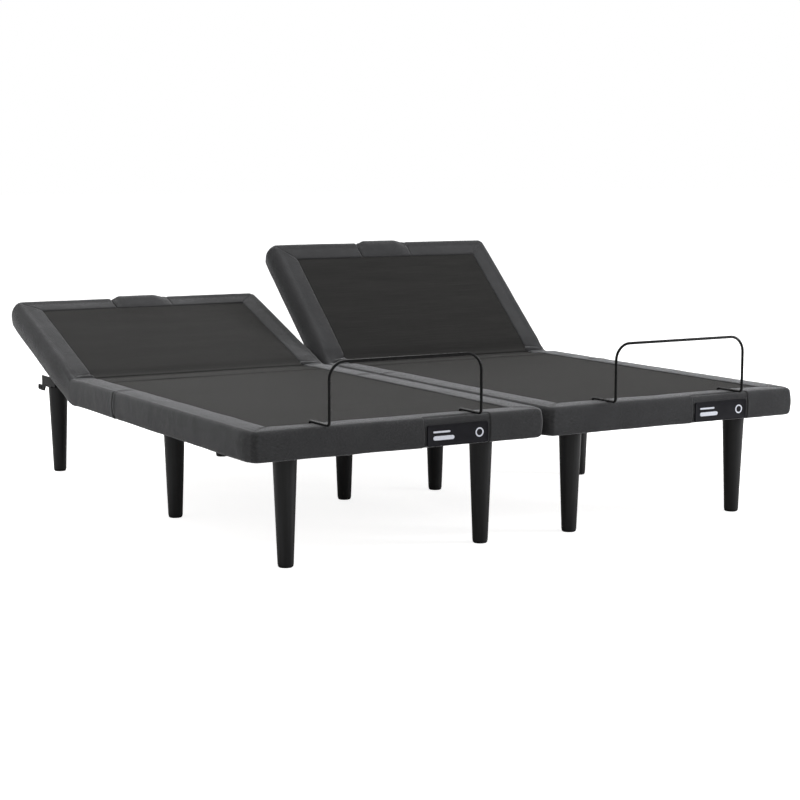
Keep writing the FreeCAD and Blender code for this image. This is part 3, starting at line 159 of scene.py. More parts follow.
class Finish:
    """A node material, built up by small steps."""

    def __init__(self, name, roughness, **sockets):
        self.material = bpy.data.materials.new(name)
        self.material.use_nodes = True
        self.tree = self.material.node_tree
        self.tree.nodes.clear()
        self.shader = self.add("ShaderNodeBsdfPrincipled")
        out = self.add("ShaderNodeOutputMaterial")
        self.tree.links.new(self.shader.outputs[0], out.inputs[0])
        self.shader.inputs["Roughness"].default_value = roughness
        for socket, value in sockets.items():
            self.shader.inputs[socket.replace("_", " ")].default_value = value

    def add(self, kind, **settings):
        made = self.tree.nodes.new(kind)
        for setting, value in settings.items():
            setattr(made, setting, value)
        return made

    def put(self, value, socket):
        if isinstance(value, bpy.types.NodeSocket):
            self.tree.links.new(value, socket)
        elif value is not None:
            socket.default_value = value

    def maths(self, operation, first, second=None):
        made = self.add("ShaderNodeMath", operation=operation)
        for value, socket in zip((first, second), made.inputs):
            self.put(value, socket)
        return made.outputs[0]

    def object_place(self, scale=(1, 1, 1), turn=(0, 0, 0)):
        place = self.add("ShaderNodeTexCoord").outputs["Object"]
        return self.mapped(place, scale, turn)

    def cloth_place(self, scale=(1, 1, 1), turn=(0, 0, 0)):
        """Metres along and across the cloth as it was cut."""
        return self.mapped(self.add("ShaderNodeUVMap", uv_map="cloth").outputs[0], scale, turn)

    def mapped(self, place, scale, turn):
        made = self.add("ShaderNodeMapping")
        self.put(place, made.inputs["Vector"])
        made.inputs["Scale"].default_value = scale
        made.inputs["Rotation"].default_value = turn
        return made.outputs[0]

    def noise(self, place, scale, detail=3.0, rough=0.55, distortion=0.0):
        made = self.add("ShaderNodeTexNoise")
        self.put(place, made.inputs["Vector"])
        made.inputs["Scale"].default_value = scale
        made.inputs["Detail"].default_value = detail
        made.inputs["Roughness"].default_value = rough
        made.inputs["Distortion"].default_value = distortion
        return made.outputs["Fac"]

    def cells(self, place, scale):
        made = self.add("ShaderNodeTexVoronoi")
        self.put(place, made.inputs["Vector"])
        made.inputs["Scale"].default_value = scale
        return made.outputs["Distance"]

    def wave(self, place, axis, scale):
        """A plain sine along X or Y with a period of one over scale."""
        split = self.add("ShaderNodeSeparateXYZ")
        self.put(place, split.inputs[0])
        turn = self.maths("MULTIPLY", split.outputs[axis], 2 * math.pi * scale)
        return self.maths("SINE", turn)

    def ramp(self, value, low, high, start=0.0, end=1.0):
        made = self.add("ShaderNodeMapRange")
        self.put(value, made.inputs["Value"])
        for socket, number in zip(("From Min", "From Max", "To Min", "To Max"), (low, high, start, end)):
            made.inputs[socket].default_value = number
        return made.outputs[0]

    def blend(self, share, first, second):
        made = self.add("ShaderNodeMix", data_type="RGBA")
        self.put(share, made.inputs[0])
        for value, socket in ((first, made.inputs[6]), (second, made.inputs[7])):
            self.put(value if isinstance(value, bpy.types.NodeSocket) else (*value, 1), socket)
        return made.outputs[2]

    def shade(self, colour, amount):
        """A colour made lighter or darker by a number round 1."""
        made = self.add("ShaderNodeVectorMath", operation="SCALE")
        self.put(colour, made.inputs[0])
        self.put(amount, made.inputs["Scale"])
        return made.outputs[0]

    def colour(self, value):
        self.put(value, self.shader.inputs["Base Color"])

    def rough(self, value):
        self.put(value, self.shader.inputs["Roughness"])

    def relief(self, height, distance, strength=1.0, under=None):
        made = self.add("ShaderNodeBump")
        made.inputs["Strength"].default_value = strength
        made.inputs["Distance"].default_value = distance
        self.put(height, made.inputs["Height"])
        if under is not None:
            self.put(under, made.inputs["Normal"])
        self.put(made.outputs[0], self.shader.inputs["Normal"])
        return made.outputs[0]


def border_cloth():
    """Charcoal heather upholstery: a plain weave of dark and grey flecked yarns with a brushed face."""
    f = Finish("border_cloth", 0.92, Sheen_Weight=0.60, Sheen_Roughness=0.30,
               Sheen_Tint=(0.80, 0.805, 0.82, 1), Specular_IOR_Level=0.12)
    place = f.cloth_place()
    warp_flecks = f.noise(f.cloth_place((1, 9, 1)), 230, 2.0)
    weft_flecks = f.noise(f.cloth_place((9, 1, 1)), 230, 2.0)
    flecks = f.maths("MULTIPLY", f.ramp(warp_flecks, 0.36, 0.66), f.ramp(weft_flecks, 0.3, 0.7))
    fuzz = f.noise(place, 900, 2.0, 0.7)
    mottle = f.noise(f.object_place(), 9, 3.0, 0.6)
    yarn = f.blend(flecks, (0.0270, 0.0271, 0.0280), (0.109, 0.1094, 0.1122))
    tone = f.maths("MULTIPLY", f.ramp(mottle, 0.25, 0.75, 0.86, 1.12), f.ramp(fuzz, 0.3, 0.7, 0.86, 1.14))
    worn = f.add("ShaderNodeAttribute", attribute_name="wear").outputs["Fac"]
    tone = f.maths("MULTIPLY", tone, f.ramp(worn, 0, 1, 1.0, 1.16))
    tone = f.maths("MULTIPLY", tone, f.ramp(f.noise(place, 170, 3.0, 0.65), 0.3, 0.7, 0.86, 1.14))
    f.colour(f.shade(yarn, tone))
    f.rough(f.ramp(mottle, 0.3, 0.7, 0.88, 0.97))
    crossing = f.maths("MULTIPLY", f.wave(place, 0, 260), f.wave(place, 1, 260))
    threads = f.maths("ADD", f.maths("MULTIPLY", crossing, 0.3), f.maths("MULTIPLY", fuzz, 1.3))
    woven = f.relief(threads, 0.0006, 0.75)
    f.relief(f.noise(f.object_place(), 26, 2.0), 0.0022, 0.5, woven)
    return f.material


def deck_cloth():
    """Thin dark deck cloth, stretched tight, with fine crosswise threads that show as faint streaks."""
    f = Finish("deck_cloth", 0.88, Sheen_Weight=0.08, Sheen_Roughness=0.34,
               Sheen_Tint=(0.84, 0.82, 0.79, 1), Specular_IOR_Level=0.14)
    streaks = f.noise(f.cloth_place((1, 42, 1)), 5.5, 4.0, 0.62)
    bands = f.noise(f.cloth_place((1, 9, 1)), 2.2, 2.0, 0.5)
    threads = f.wave(f.cloth_place(), 1, 640)
    cross = f.wave(f.cloth_place(), 0, 460)
    grain = f.noise(f.cloth_place((1, 3, 1)), 700, 2.0, 0.6)
    shade = f.blend(f.ramp(streaks, 0.3, 0.72), (0.0120, 0.0117, 0.0112), (0.0242, 0.0236, 0.0227))
    tone = f.maths("MULTIPLY", f.ramp(bands, 0.3, 0.7, 0.9, 1.1), f.ramp(grain, 0.3, 0.7, 0.88, 1.12))
    f.colour(f.shade(shade, tone))
    f.rough(f.ramp(streaks, 0.3, 0.7, 0.78, 0.92))
    weave = f.maths("ADD", f.maths("MULTIPLY", threads, 0.4), f.maths("MULTIPLY", cross, 0.25))
    weave = f.maths("ADD", weave, f.maths("MULTIPLY", grain, 0.8))
    fine = f.relief(weave, 0.0004, 0.6)
    f.relief(streaks, 0.0012, 0.35, fine)
    return f.material


def thread():
    f = Finish("sewing_thread", 0.55, Sheen_Weight=0.2, Specular_IOR_Level=0.4)
    twist = f.noise(f.object_place(), 1500, 2.0)
    f.colour(f.blend(f.ramp(twist, 0.35, 0.65), (0.040, 0.041, 0.044), (0.105, 0.107, 0.112)))
    f.relief(twist, 0.0003, 0.8)
    return f.material


def moulded_plate():
    """Soft black moulded label with a fine spark-eroded texture."""
    f = Finish("moulded_plate", 0.5, Specular_IOR_Level=0.08)
    grain = f.noise(f.object_place(), 1400, 3.0, 0.6)
    smear = f.noise(f.object_place(), 22, 2.0)
    f.colour(f.blend(f.ramp(smear, 0.3, 0.7), (0.0110, 0.0108, 0.0132), (0.0160, 0.0158, 0.0186)))
    f.rough(f.ramp(smear, 0.3, 0.7, 0.60, 0.66))
    f.relief(grain, 0.0004, 0.5)
    return f.material


def printed_mark():
    f = Finish("printed_mark", 0.45, Specular_IOR_Level=0.3)
    ink = f.noise(f.object_place(), 900, 2.0)
    f.colour(f.blend(f.ramp(ink, 0.35, 0.65), (0.62, 0.64, 0.72), (0.80, 0.82, 0.88)))
    f.relief(ink, 0.0002, 0.4)
    return f.material


def leg_plastic():
    """Satin black moulded legs: lighter streaks down the leg, painted in as soft highlights, and a fine
    texture.
    """
    f = Finish("leg_satin", 0.36, Specular_IOR_Level=0.24, Coat_Weight=0.03, Coat_Roughness=0.3)
    peel = f.noise(f.object_place(), 420, 2.0)
    highlight_streaks = f.noise(f.object_place((30, 30, 1.2)), 2.0, 2.0)
    dust = f.noise(f.object_place(), 12, 4.0, 0.7)
    # painted highlight: the lighter vertical streaks down the leg stand in for soft highlights on the satin
    f.colour(f.blend(f.ramp(highlight_streaks, 0.35, 0.65), (0.0100, 0.0100, 0.0103), (0.0180, 0.0180, 0.0184)))
    f.rough(f.maths("ADD", f.ramp(dust, 0.3, 0.7, 0.30, 0.42), f.ramp(highlight_streaks, 0.3, 0.7, -0.02, 0.05)))
    f.relief(peel, 0.0004, 0.35)
    return f.material


def coated_steel():
    """Black powder coat: orange peel, a little dust on top and paler rubbed edges."""
    f = Finish("powder_coat", 0.5, Specular_IOR_Level=0.14)
    peel = f.noise(f.object_place(), 650, 2.0)
    dust = f.noise(f.object_place(), 7, 4.0, 0.65)
    scuffs = f.noise(f.object_place((1, 14, 1)), 30, 3.0, 0.7)
    base = f.blend(f.ramp(dust, 0.4, 0.75), (0.0035, 0.0035, 0.0038), (0.0070, 0.0070, 0.0074))
    f.colour(f.blend(f.ramp(scuffs, 0.66, 0.82, 0.0, 0.5), base, (0.026, 0.026, 0.0275)))
    f.rough(f.ramp(dust, 0.3, 0.75, 0.42, 0.62))
    f.relief(peel, 0.0004, 0.5)
    return f.material


def zinc():
    f = Finish("zinc_steel", 0.32, Metallic=1.0)
    spangle = f.cells(f.object_place(), 260)
    stain = f.noise(f.object_place(), 30, 3.0)
    f.colour(f.blend(f.ramp(spangle, 0.1, 0.7), (0.38, 0.38, 0.385), (0.56, 0.56, 0.565)))
    f.rough(f.ramp(stain, 0.3, 0.7, 0.24, 0.44))
    f.relief(spangle, 0.0002, 0.3)
    return f.material


def housing_plastic():
    f = Finish("housing_plastic", 0.55, Specular_IOR_Level=0.4)
    grain = f.cells(f.object_place(), 900)
    dust = f.noise(f.object_place(), 11, 3.0)
    f.colour(f.blend(f.ramp(dust, 0.35, 0.7), (0.012, 0.012, 0.0125), (0.019, 0.019, 0.0195)))
    f.rough(f.ramp(dust, 0.3, 0.7, 0.48, 0.66))
    f.relief(grain, 0.0003, 0.5)
    return f.material


def rubber():
    f = Finish("black_rubber", 0.8, Specular_IOR_Level=0.25)
    grain = f.noise(f.object_place(), 800, 3.0)
    f.colour(f.blend(f.ramp(grain, 0.3, 0.7), (0.009, 0.009, 0.009), (0.016, 0.016, 0.016)))
    f.relief(grain, 0.0004, 0.6)
    return f.material


def board_wood():
    """Deck boards: pale softwood ply seen from below, with grain, knots and darker glue lines."""
    f = Finish("deck_ply", 0.7, Specular_IOR_Level=0.3)
    grain = f.noise(f.object_place((1.2, 26, 26)), 9, 4.0, 0.65, 0.6)
    knots = f.cells(f.object_place((1, 2.4, 2.4)), 5)
    pores = f.noise(f.object_place((6, 160, 160)), 8, 2.0)
    base = f.blend(f.ramp(grain, 0.3, 0.7), (0.22, 0.135, 0.07), (0.40, 0.27, 0.155))
    f.colour(f.blend(f.ramp(knots, 0.0, 0.11, 0.7, 0.0), base, (0.10, 0.052, 0.024)))
    f.rough(f.ramp(grain, 0.3, 0.7, 0.6, 0.78))
    f.relief(pores, 0.0005, 0.5)
    return f.material


def bar_coat():
    """Glossy black coating on the bent wire."""
    f = Finish("bar_gloss", 0.30, Specular_IOR_Level=0.20)
    wear = f.noise(f.object_place(), 60, 3.0)
    f.colour(f.blend(f.ramp(wear, 0.4, 0.7), (0.0016, 0.0016, 0.0017), (0.0030, 0.0030, 0.0032)))
    f.rough(f.ramp(wear, 0.3, 0.7, 0.24, 0.36))
    f.relief(f.noise(f.object_place(), 900, 2.0), 0.0002, 0.4)
    return f.material


BORDER, DECK, THREAD = border_cloth(), deck_cloth(), thread()
PLATE, MARK = moulded_plate(), printed_mark()
FINISHES = {
    "chassis_steel": coated_steel(),
    "bright_steel": zinc(),
    "actuator_plastic": housing_plastic(),
    "leg_black": leg_plastic(),
    "rubber_black": rubber(),
    "deck_wood": board_wood(),
    "deck_fabric": DECK,
    "border_fabric": BORDER,
    "bar_black": bar_coat(),
    "plate_black": PLATE,
}
slots = {part["node"]: part["material_slot"] for part in frame["record"]["subparts"]}
for node, thing in NODES.items():
    for holder in thing.material_slots:
        holder.link = "OBJECT"
        holder.material = FINISHES[slots[node]]


# ------------------------------------------------------------ meshes from stations


def make_piece(name, vertices, faces, material, cloth=None, wear=None, sharp=()):
    """A smooth-shaded mesh object; cloth gives each vertex its place on the flat cloth."""
    mesh = bpy.data.meshes.new(name)
    mesh.from_pydata([tuple(vertex) for vertex in vertices], [], faces)
    mesh.validate()
    mesh.polygons.foreach_set("use_smooth", [True] * len(mesh.polygons))
    if cloth is not None:
        layer = mesh.uv_layers.new(name="cloth")
        corners = np.zeros(len(mesh.loops), np.int32)
        mesh.loops.foreach_get("vertex_index", corners)
        layer.uv.foreach_set("vector", np.asarray(cloth, np.float32)[corners].ravel())
    if wear is not None:
        attribute = mesh.attributes.new("wear", "FLOAT", "POINT")
        attribute.data.foreach_set("value", np.asarray(wear, np.float32))
    mesh.materials.append(material)
    piece = bpy.data.objects.new(name, mesh)
    bpy.context.scene.collection.objects.link(piece)
    if sharp:
        edges = {tuple(sorted(edge.vertices)): edge for edge in mesh.edges}
        for ring in sharp:
            for first, second in zip(ring, list(ring[1:]) + [ring[0]]):
                edge = edges.get(tuple(sorted((first, second))))
                if edge is not None:
                    edge.use_edge_sharp = True
    return piece


def loft(stations, size, base=0):
    """Faces between closed rings of the same size, a cap at each end, and the rings of the two caps."""
    faces = []
    for row in range(stations - 1):
        for k in range(size):
            a, b = base + row * size + k, base + row * size + (k + 1) % size
            faces.append((a, b, b + size, a + size))
    first = list(range(base, base + size))
    last = [(stations - 1) * size + k for k in first]
    faces.append(tuple(reversed(first)))
    faces.append(tuple(last))
    return faces, (first, last)


def facing_out(points, faces):
    """The faces, all turned over if they enclose a volume below 0 and so look inwards."""
    volume = 0.0
    for face in faces:
        a = points[face[0]]
        for second, third in zip(face[1:], face[2:]):
            volume += float(np.dot(a, np.cross(points[second], points[third]))) / 6
    return faces if volume >= 0 else [tuple(reversed(face)) for face in faces]


def spaced(low, high, step, fine=()):
    """Stations from low to high about step apart, and closer round each (centre, reach, step)."""
    spots = set(np.linspace(low, high, max(2, int(math.ceil((high - low) / step)) + 1)))
    for centre, reach, close in fine:
        a, b = max(low, centre - reach), min(high, centre + reach)
        if a < b:
            spots = {s for s in spots if not a < s < b or s in (low, high)}
            spots |= set(np.linspace(a, b, int(math.ceil((b - a) / close)) + 1))
    ordered = sorted(spots)
    kept = [ordered[0]]
    for spot in ordered[1:]:
        if spot - kept[-1] > 2e-4:
            kept.append(spot)
    kept[-1] = high
    return kept


def arc(centre, radius, start, end, count):
    """Points along an arc, from one angle in degrees to another."""
    turn = np.radians(np.linspace(start, end, count))
    return [(centre[0] + radius * math.cos(a), centre[1] + radius * math.sin(a)) for a in turn]


def border_profile(bed):
    """Cross-section of the padded border: across from its inner edge, and up from its top."""
    wide, deep = bed.border, bed.top - bed.bottom
    seat = bed.board_top - bed.top + 0.0004
    board = wide - 0.0218
    edge, low_edge = 0.0130, 0.0115
    loop = [(0.0004, seat + 0.0015), (-0.0010, -0.0046), (-0.0004, -0.0020), (0.0012, -0.0003),
            (0.0042, 0.0005)]
    for across in np.linspace(0.011, wide - edge - 0.004, 8):
        crown = 0.0009 * math.sin(math.pi * (across - 0.003) / (wide - edge))
        loop.append((across, 0.0006 + crown))
    loop += arc((wide - edge, -edge), edge, 88, 2, 8)
    for down in np.linspace(edge + 0.008, deep - low_edge - 0.007, 7):
        bulge = 0.0030 * math.sin(math.pi * (down - edge) / (deep - edge - low_edge))
        loop.append((wide + bulge, -down))
    loop += arc((wide - low_edge, -deep + low_edge), low_edge, -2, -88, 7)
    loop += [(board + 0.006, -deep - 0.0002), (board + 0.0015, -deep + 0.0035),
             (board + 0.0003, -deep + 0.010), (board + 0.0002, -deep * 0.55),
             (board + 0.0002, seat - 0.006), (board - 0.001, seat), (board * 0.5, seat)]
    return np.array(loop)


def around(loop):
    """Length along a profile to each of its points."""
    steps = np.linalg.norm(np.diff(loop, axis=0), axis=1)
    return np.concatenate([[0], np.cumsum(steps)])


def rough_up(points, seed, size, amount):
    """Soft uneven padding: smooth noise at a given size, for each point."""
    shift = Vector((seed * 7.13, seed * 3.71, seed * 1.37))
    return np.array([noise.noise(Vector(p) / size + shift) for p in points]) * amount


def side_wear(loop, bed):
    """Where hands and bedding rub: the outer top edge, a little at the bottom edge."""
    across, up = loop[:, 0], loop[:, 1]
    top_edge = bump(across - up, bed.border, 0.014) * (up > -0.03)
    low_edge = bump(up, -(bed.top - bed.bottom), 0.007) * (across > bed.border - 0.02)
    return top_edge + 0.6 * low_edge


def fullness(bed, across):
    """Share of a border's fullness at each point: all of it on the outer face, none on the top."""
    return smooth((across - bed.border + 0.013) / 0.013)


def path_straight(bed, side, low, high, step, fine=()):
    """Stations of a straight border, as path_round gives them."""
    inner = bed.x + side * bed.deck_half
    return [((inner, y), (side * bed.border, 0.0), y) for y in spaced(low, high, step, fine)]


def path_round(bed, low, end_y, fine_side=(), fine_end=()):
    """Stations of a U-shaped border from the left side round the end to the right side.

    Each station is its inner point, the vector from there to the outer edge, and the distance along.
    """
    forward = 1 if end_y > low else -1
    inner_y = end_y - forward * bed.border
    left, right = bed.x - bed.deck_half, bed.x + bed.deck_half
    out_left, out_right = bed.x - bed.half, bed.x + bed.half
    stations = []
    travelled = 0.0

    def add(inner, outer):
        nonlocal travelled
        if stations:
            before = stations[-1]
            middle_now = (np.array(inner) + np.array(outer)) / 2
            middle_old = np.array(before[0]) + np.array(before[1]) / 2
            travelled += float(np.linalg.norm(middle_now - middle_old))
        stations.append((inner, (outer[0] - inner[0], outer[1] - inner[1]), travelled))

    ys = spaced(min(low, inner_y), max(low, inner_y), STATION_STEP, fine_side)
    ys = ys if forward > 0 else ys[::-1]
    for y in ys:
        add((left, y), (out_left, y))
    turn_y = end_y - forward * CORNER
    for y in np.linspace(inner_y, turn_y, 7)[1:]:
        add((left, inner_y), (out_left, y))
    for a in np.radians(np.linspace(0, 90, 13)[1:]):
        rise = forward * CORNER * math.sin(a)
        add((left, inner_y), (out_left + CORNER * (1 - math.cos(a)), turn_y + rise))
    for x in np.linspace(out_left + CORNER, left, 7)[1:]:
        add((left, inner_y), (x, end_y))
    for x in spaced(left, right, STATION_STEP, fine_end)[1:]:
        add((x, inner_y), (x, end_y))
    for x in np.linspace(right, out_right - CORNER, 7)[1:]:
        add((right, inner_y), (x, end_y))
    for a in np.radians(np.linspace(90, 0, 13)[1:]):
        rise = forward * CORNER * math.sin(a)
        add((right, inner_y), (out_right - CORNER * (1 - math.cos(a)), turn_y + rise))
    for y in np.linspace(turn_y, inner_y, 7)[1:]:
        add((right, inner_y), (out_right, y))
    for y in ys[::-1][1:]:
        add((right, y), (out_right, y))
    return stations


def border_piece(name, bed, stations, displace, lay=None):
    """A padded border: the profile carried along its stations, displaced, and laid in place."""
    loop = border_profile(bed)
    lengths = around(loop)
    worn = side_wear(loop, bed)
    size = len(loop)
    points, cloth, wear, normals, across, level = [], [], [], [], [], []
    tangents = np.roll(loop, -1, 0) - np.roll(loop, 1, 0)
    outward = np.stack([-tangents[:, 1], tangents[:, 0]], 1)
    outward /= np.linalg.norm(outward, axis=1)[:, None]
    for inner, reach, along in stations:
        span = math.hypot(*reach)
        way = (reach[0] / span, reach[1] / span)
        for k in range(size):
            a, up = loop[k]
            share = a / bed.border
            points.append((inner[0] + reach[0] * share, inner[1] + reach[1] * share, bed.top + up))
            cloth.append((along, lengths[k]))
            wear.append(worn[k])
            normals.append((way[0] * outward[k][0], way[1] * outward[k][0], outward[k][1]))
            across.append(a)
            level.append(up)
    points, normals = np.array(points), np.array(normals)
    across, level = np.array(across), np.array(level)
    shown = (level > bed.board_top - bed.top + 0.002) | (across > bed.border - 0.016)
    swell = rough_up(points, bed.seed, 0.13, 0.0011) + rough_up(points, bed.seed + 5, 0.035, 0.0005)
    swell = swell + displace(points, across, level)
    points = points + normals * (swell * shown)[:, None]
    if lay is not None:
        points = lay(points)
    faces, rings = loft(len(stations), size)
    return make_piece(name, points, facing_out(points, faces), BORDER, cloth, wear, rings)


def mitre(points, corner, way, depth=0.0011, width=0.0034):
    """A sewn mitre that runs from an inner corner outwards at 45 degrees."""
    offset = points[:, :2] - np.array(corner)
    along = offset @ np.array(way) / math.sqrt(2)
    side = np.abs(offset @ np.array((-way[1], way[0]))) / math.sqrt(2)
    return -depth * np.exp(-((side / width) ** 2)) * (along > -0.002)


# ------------------------------------------------------------ covers and decks


def head_cover(bed):
    """Border cover of the head section and the rear of the seat, one piece over the head fold."""
    hinge = bed.head_hinge.y
    strong = 0.6 + bed.tilt * 0.9    # the steeper the section stands, the deeper its creases
    inner_y = bed.head_y - bed.border
    hump = 0.111    # the unit's middle to each end of the grip pad

    def displace(points, across, level):
        y = points[:, 1]
        top = level > -0.012
        inner = smooth(1 - (across - 0.026) / 0.050)
        crease = -0.0100 * bump(y, hinge + 0.0005 + across * 0.03, 0.0044) * inner
        crease += 0.0042 * bump(y, hinge + 0.016, 0.0095) * inner
        crease += 0.0016 * bump(y, hinge - 0.013, 0.008) * inner
        crease += -0.0018 * bump(y, hinge - 0.026 - across * 0.35, 0.0045) * inner
        crease += -0.0026 * bump(y, hinge + 0.037 - across * 0.35, 0.0055) * inner
        moved = crease * strong * top
        ripple = np.sin((y - hinge) / 0.0075 + across * 60) * bump(y, hinge, 0.040)
        moved += 0.0006 * strong * ripple * top
        side = across > bed.border - 0.004
        moved += 0.0012 * bump(y, hinge, 0.05) * side
        past = smooth((y - hinge - 0.02) / 0.16)
        moved -= 0.0060 * bump(bed.border - across - level, 0.0, 0.016) * past
        soft_edge = smooth((across - bed.border + 0.030) / 0.026)
        moved += FULL_SIDE * (1 - past) * fullness(bed, across) + 0.0090 * past * soft_edge
        moved += 0.0030 * bump(level, -0.045, 0.028) * side * past
        for side_x, way in ((-1, (-1, 1)), (1, (1, 1))):
            moved += mitre(points, (bed.x + side_x * bed.deck_half, inner_y), way) * (level > -0.07)
        on_end = y > inner_y - 0.001
        for x, depth in ((-hump, 0.0085), (hump, 0.0022)):
            moved -= depth * bump(points[:, 0], bed.x + x, 0.0046) * on_end * (level > -0.03)
        return moved

    fine = ((hinge, 0.075, 0.0026),)
    around_hump = tuple((bed.x + x, 0.012, 0.002) for x in (-hump, hump))
    stations = path_round(bed, SEAT_SPLIT, bed.head_y, fine, around_hump)
    piece = border_piece(f"{bed.name}_head_cover", bed, stations, displace,
                         lambda points: lay_back(bed, points))
    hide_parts(f"{bed.name}_head_border", "seat_borders")
    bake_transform(piece)


def seat_cover(bed):
    """Side covers over the thigh fold, with the sewn seam that shows on the side."""
    hinge = bed.thigh_hinge.y
    for side in (-1, 1):
        def displace(points, across, level):
            y = points[:, 1]
            on_side = smooth((across - 0.004) / 0.030)
            line = hinge + 0.0008 * np.sin(level * 90) + (bed.border - across) * 0.10 * (level > -0.012)
            seam = -0.0066 * bump(y, line, 0.0020) * on_side
            puff = 0.0016 * bump(y, line - 0.010, 0.0075) + 0.0010 * bump(y, line + 0.010, 0.007)
            pull = np.sin((points[:, 2] - bed.bottom) / 0.0075) * bump(y, hinge - 0.012, 0.018)
            notch = 0.0060 * smooth((line - y) / 0.002) * bump(y, line - 0.004, 0.012)
            low = level < -(bed.top - bed.bottom) + 0.012
            moved = seam + puff * on_side + 0.0004 * pull * on_side - notch * low
            return moved + FULL_SIDE * fullness(bed, across)

        fine = ((hinge, 0.05, 0.0032), (hinge, 0.0075, 0.0007))
        stations = path_straight(bed, side, THIGH_SPLIT, SEAT_SPLIT, STATION_STEP, fine)
        hand = "left" if side < 0 else "right"
        piece = border_piece(f"{bed.name}_seat_cover_{hand}", bed, stations, displace)
        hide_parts("seat_borders", f"{bed.name}_thigh_border")
        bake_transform(piece)


def foot_cover(bed):
    """Border cover of the foot section and the front of the thigh section, over the knee."""
    inner_y = bed.foot_y + bed.border
    plate_low, plate_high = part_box(f"{bed.name}_name_plate")
    plate_x = (plate_low.x + plate_high.x) / 2
    patch = (plate_high.x - plate_low.x) / 2 + PATCH_MARGIN
    dip = 0.0032    # keeps the patch's cloth behind the plate

    def displace(points, across, level):
        moved = np.zeros(len(points))
        for side_x, way in ((-1, (-1, -1)), (1, (1, -1))):
            moved += mitre(points, (bed.x + side_x * bed.deck_half, inner_y), way) * (level > -0.07)
        on_end = (points[:, 1] < inner_y + 0.001) & (across > bed.border - 0.014)
        for x in (plate_x - patch, plate_x + patch):
            moved += -0.0017 * bump(points[:, 0], x, 0.0018) * on_end
            moved += 0.0006 * bump(points[:, 0], x, 0.007) * on_end
        moved += FULL_SIDE * fullness(bed, across) * smooth((points[:, 1] - bed.foot_y - 0.006) / 0.05)
        inside = np.abs(points[:, 0] - plate_x) < patch
        moved -= dip * inside * on_end
        return moved

    knee = bed.knee.y
    fine_end = tuple((x, 0.010, 0.0014) for x in (plate_x - patch, plate_x + patch))
    stations = path_round(bed, THIGH_SPLIT, bed.foot_y, ((knee, 0.1, 0.006),), fine_end)
    piece = border_piece(f"{bed.name}_foot_cover", bed, stations, displace)
    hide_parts(f"{bed.name}_foot_border", f"{bed.name}_thigh_border")
    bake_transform(piece)


def deck_slab(name, bed, low, high, fine, displace, seed, lay=None, open_low=False, open_high=False):
    """A thin padded deck panel: a dense top and a plain underside, its edges tucked under the border."""
    half = bed.deck_half + TUCK
    ys = spaced(low, high, 0.018, fine)
    xs = spaced(-half, half, 0.0225, ((-half, 0.03, 0.004), (half, 0.03, 0.004)))
    thick = bed.deck_top - bed.board_top
    under = bed.board_top + 0.0006
    points, cloth = [], []
    for y in ys:
        for x in xs:
            points.append((bed.x + x, y, bed.deck_top + DECK_CROWN))
            cloth.append((x, y))
    count = len(points)
    points = np.array(points)
    x, y = points[:, 0] - bed.x, points[:, 1]
    tuck = 0.0010 * bump(np.abs(x), half, 0.003) + 0.0005 * bump(np.abs(x), half, 0.022)
    lift = rough_up(points, seed, 0.30, 0.0009) + rough_up(points * (0.35, 1, 1), seed + 2, 0.055, 0.0005)
    lift = lift - tuck + displace(y)
    if not open_low:
        lift -= 0.0008 * bump(y, low, 0.003) + 0.0005 * bump(y, low, 0.02)
    if not open_high:
        lift -= 0.0008 * bump(y, high, 0.003) + 0.0005 * bump(y, high, 0.02)
    points[:, 2] += np.maximum(lift, -thick + 0.0012)
    bottom = points.copy()
    bottom[:, 2] = under
    points = np.vstack([points, bottom])
    cloth = cloth + cloth
    if lay is not None:
        points = lay(points)
    rows, cols = len(ys), len(xs)
    faces = []
    for r in range(rows - 1):
        for c in range(cols - 1):
            a = r * cols + c
            faces.append((a, a + 1, a + cols + 1, a + cols))
            b = a + count
            faces.append((b + cols, b + cols + 1, b + 1, b))
    ring = list(range(cols)) + [r * cols + cols - 1 for r in range(1, rows)]
    ring += [(rows - 1) * cols + c for c in range(cols - 2, -1, -1)]
    ring += [r * cols for r in range(rows - 2, 0, -1)]
    for first, second in zip(ring, ring[1:] + ring[:1]):
        faces.append((second, first, first + count, second + count))
    return make_piece(name, points, faces, DECK, cloth, sharp=[ring, [i + count for i in ring]])


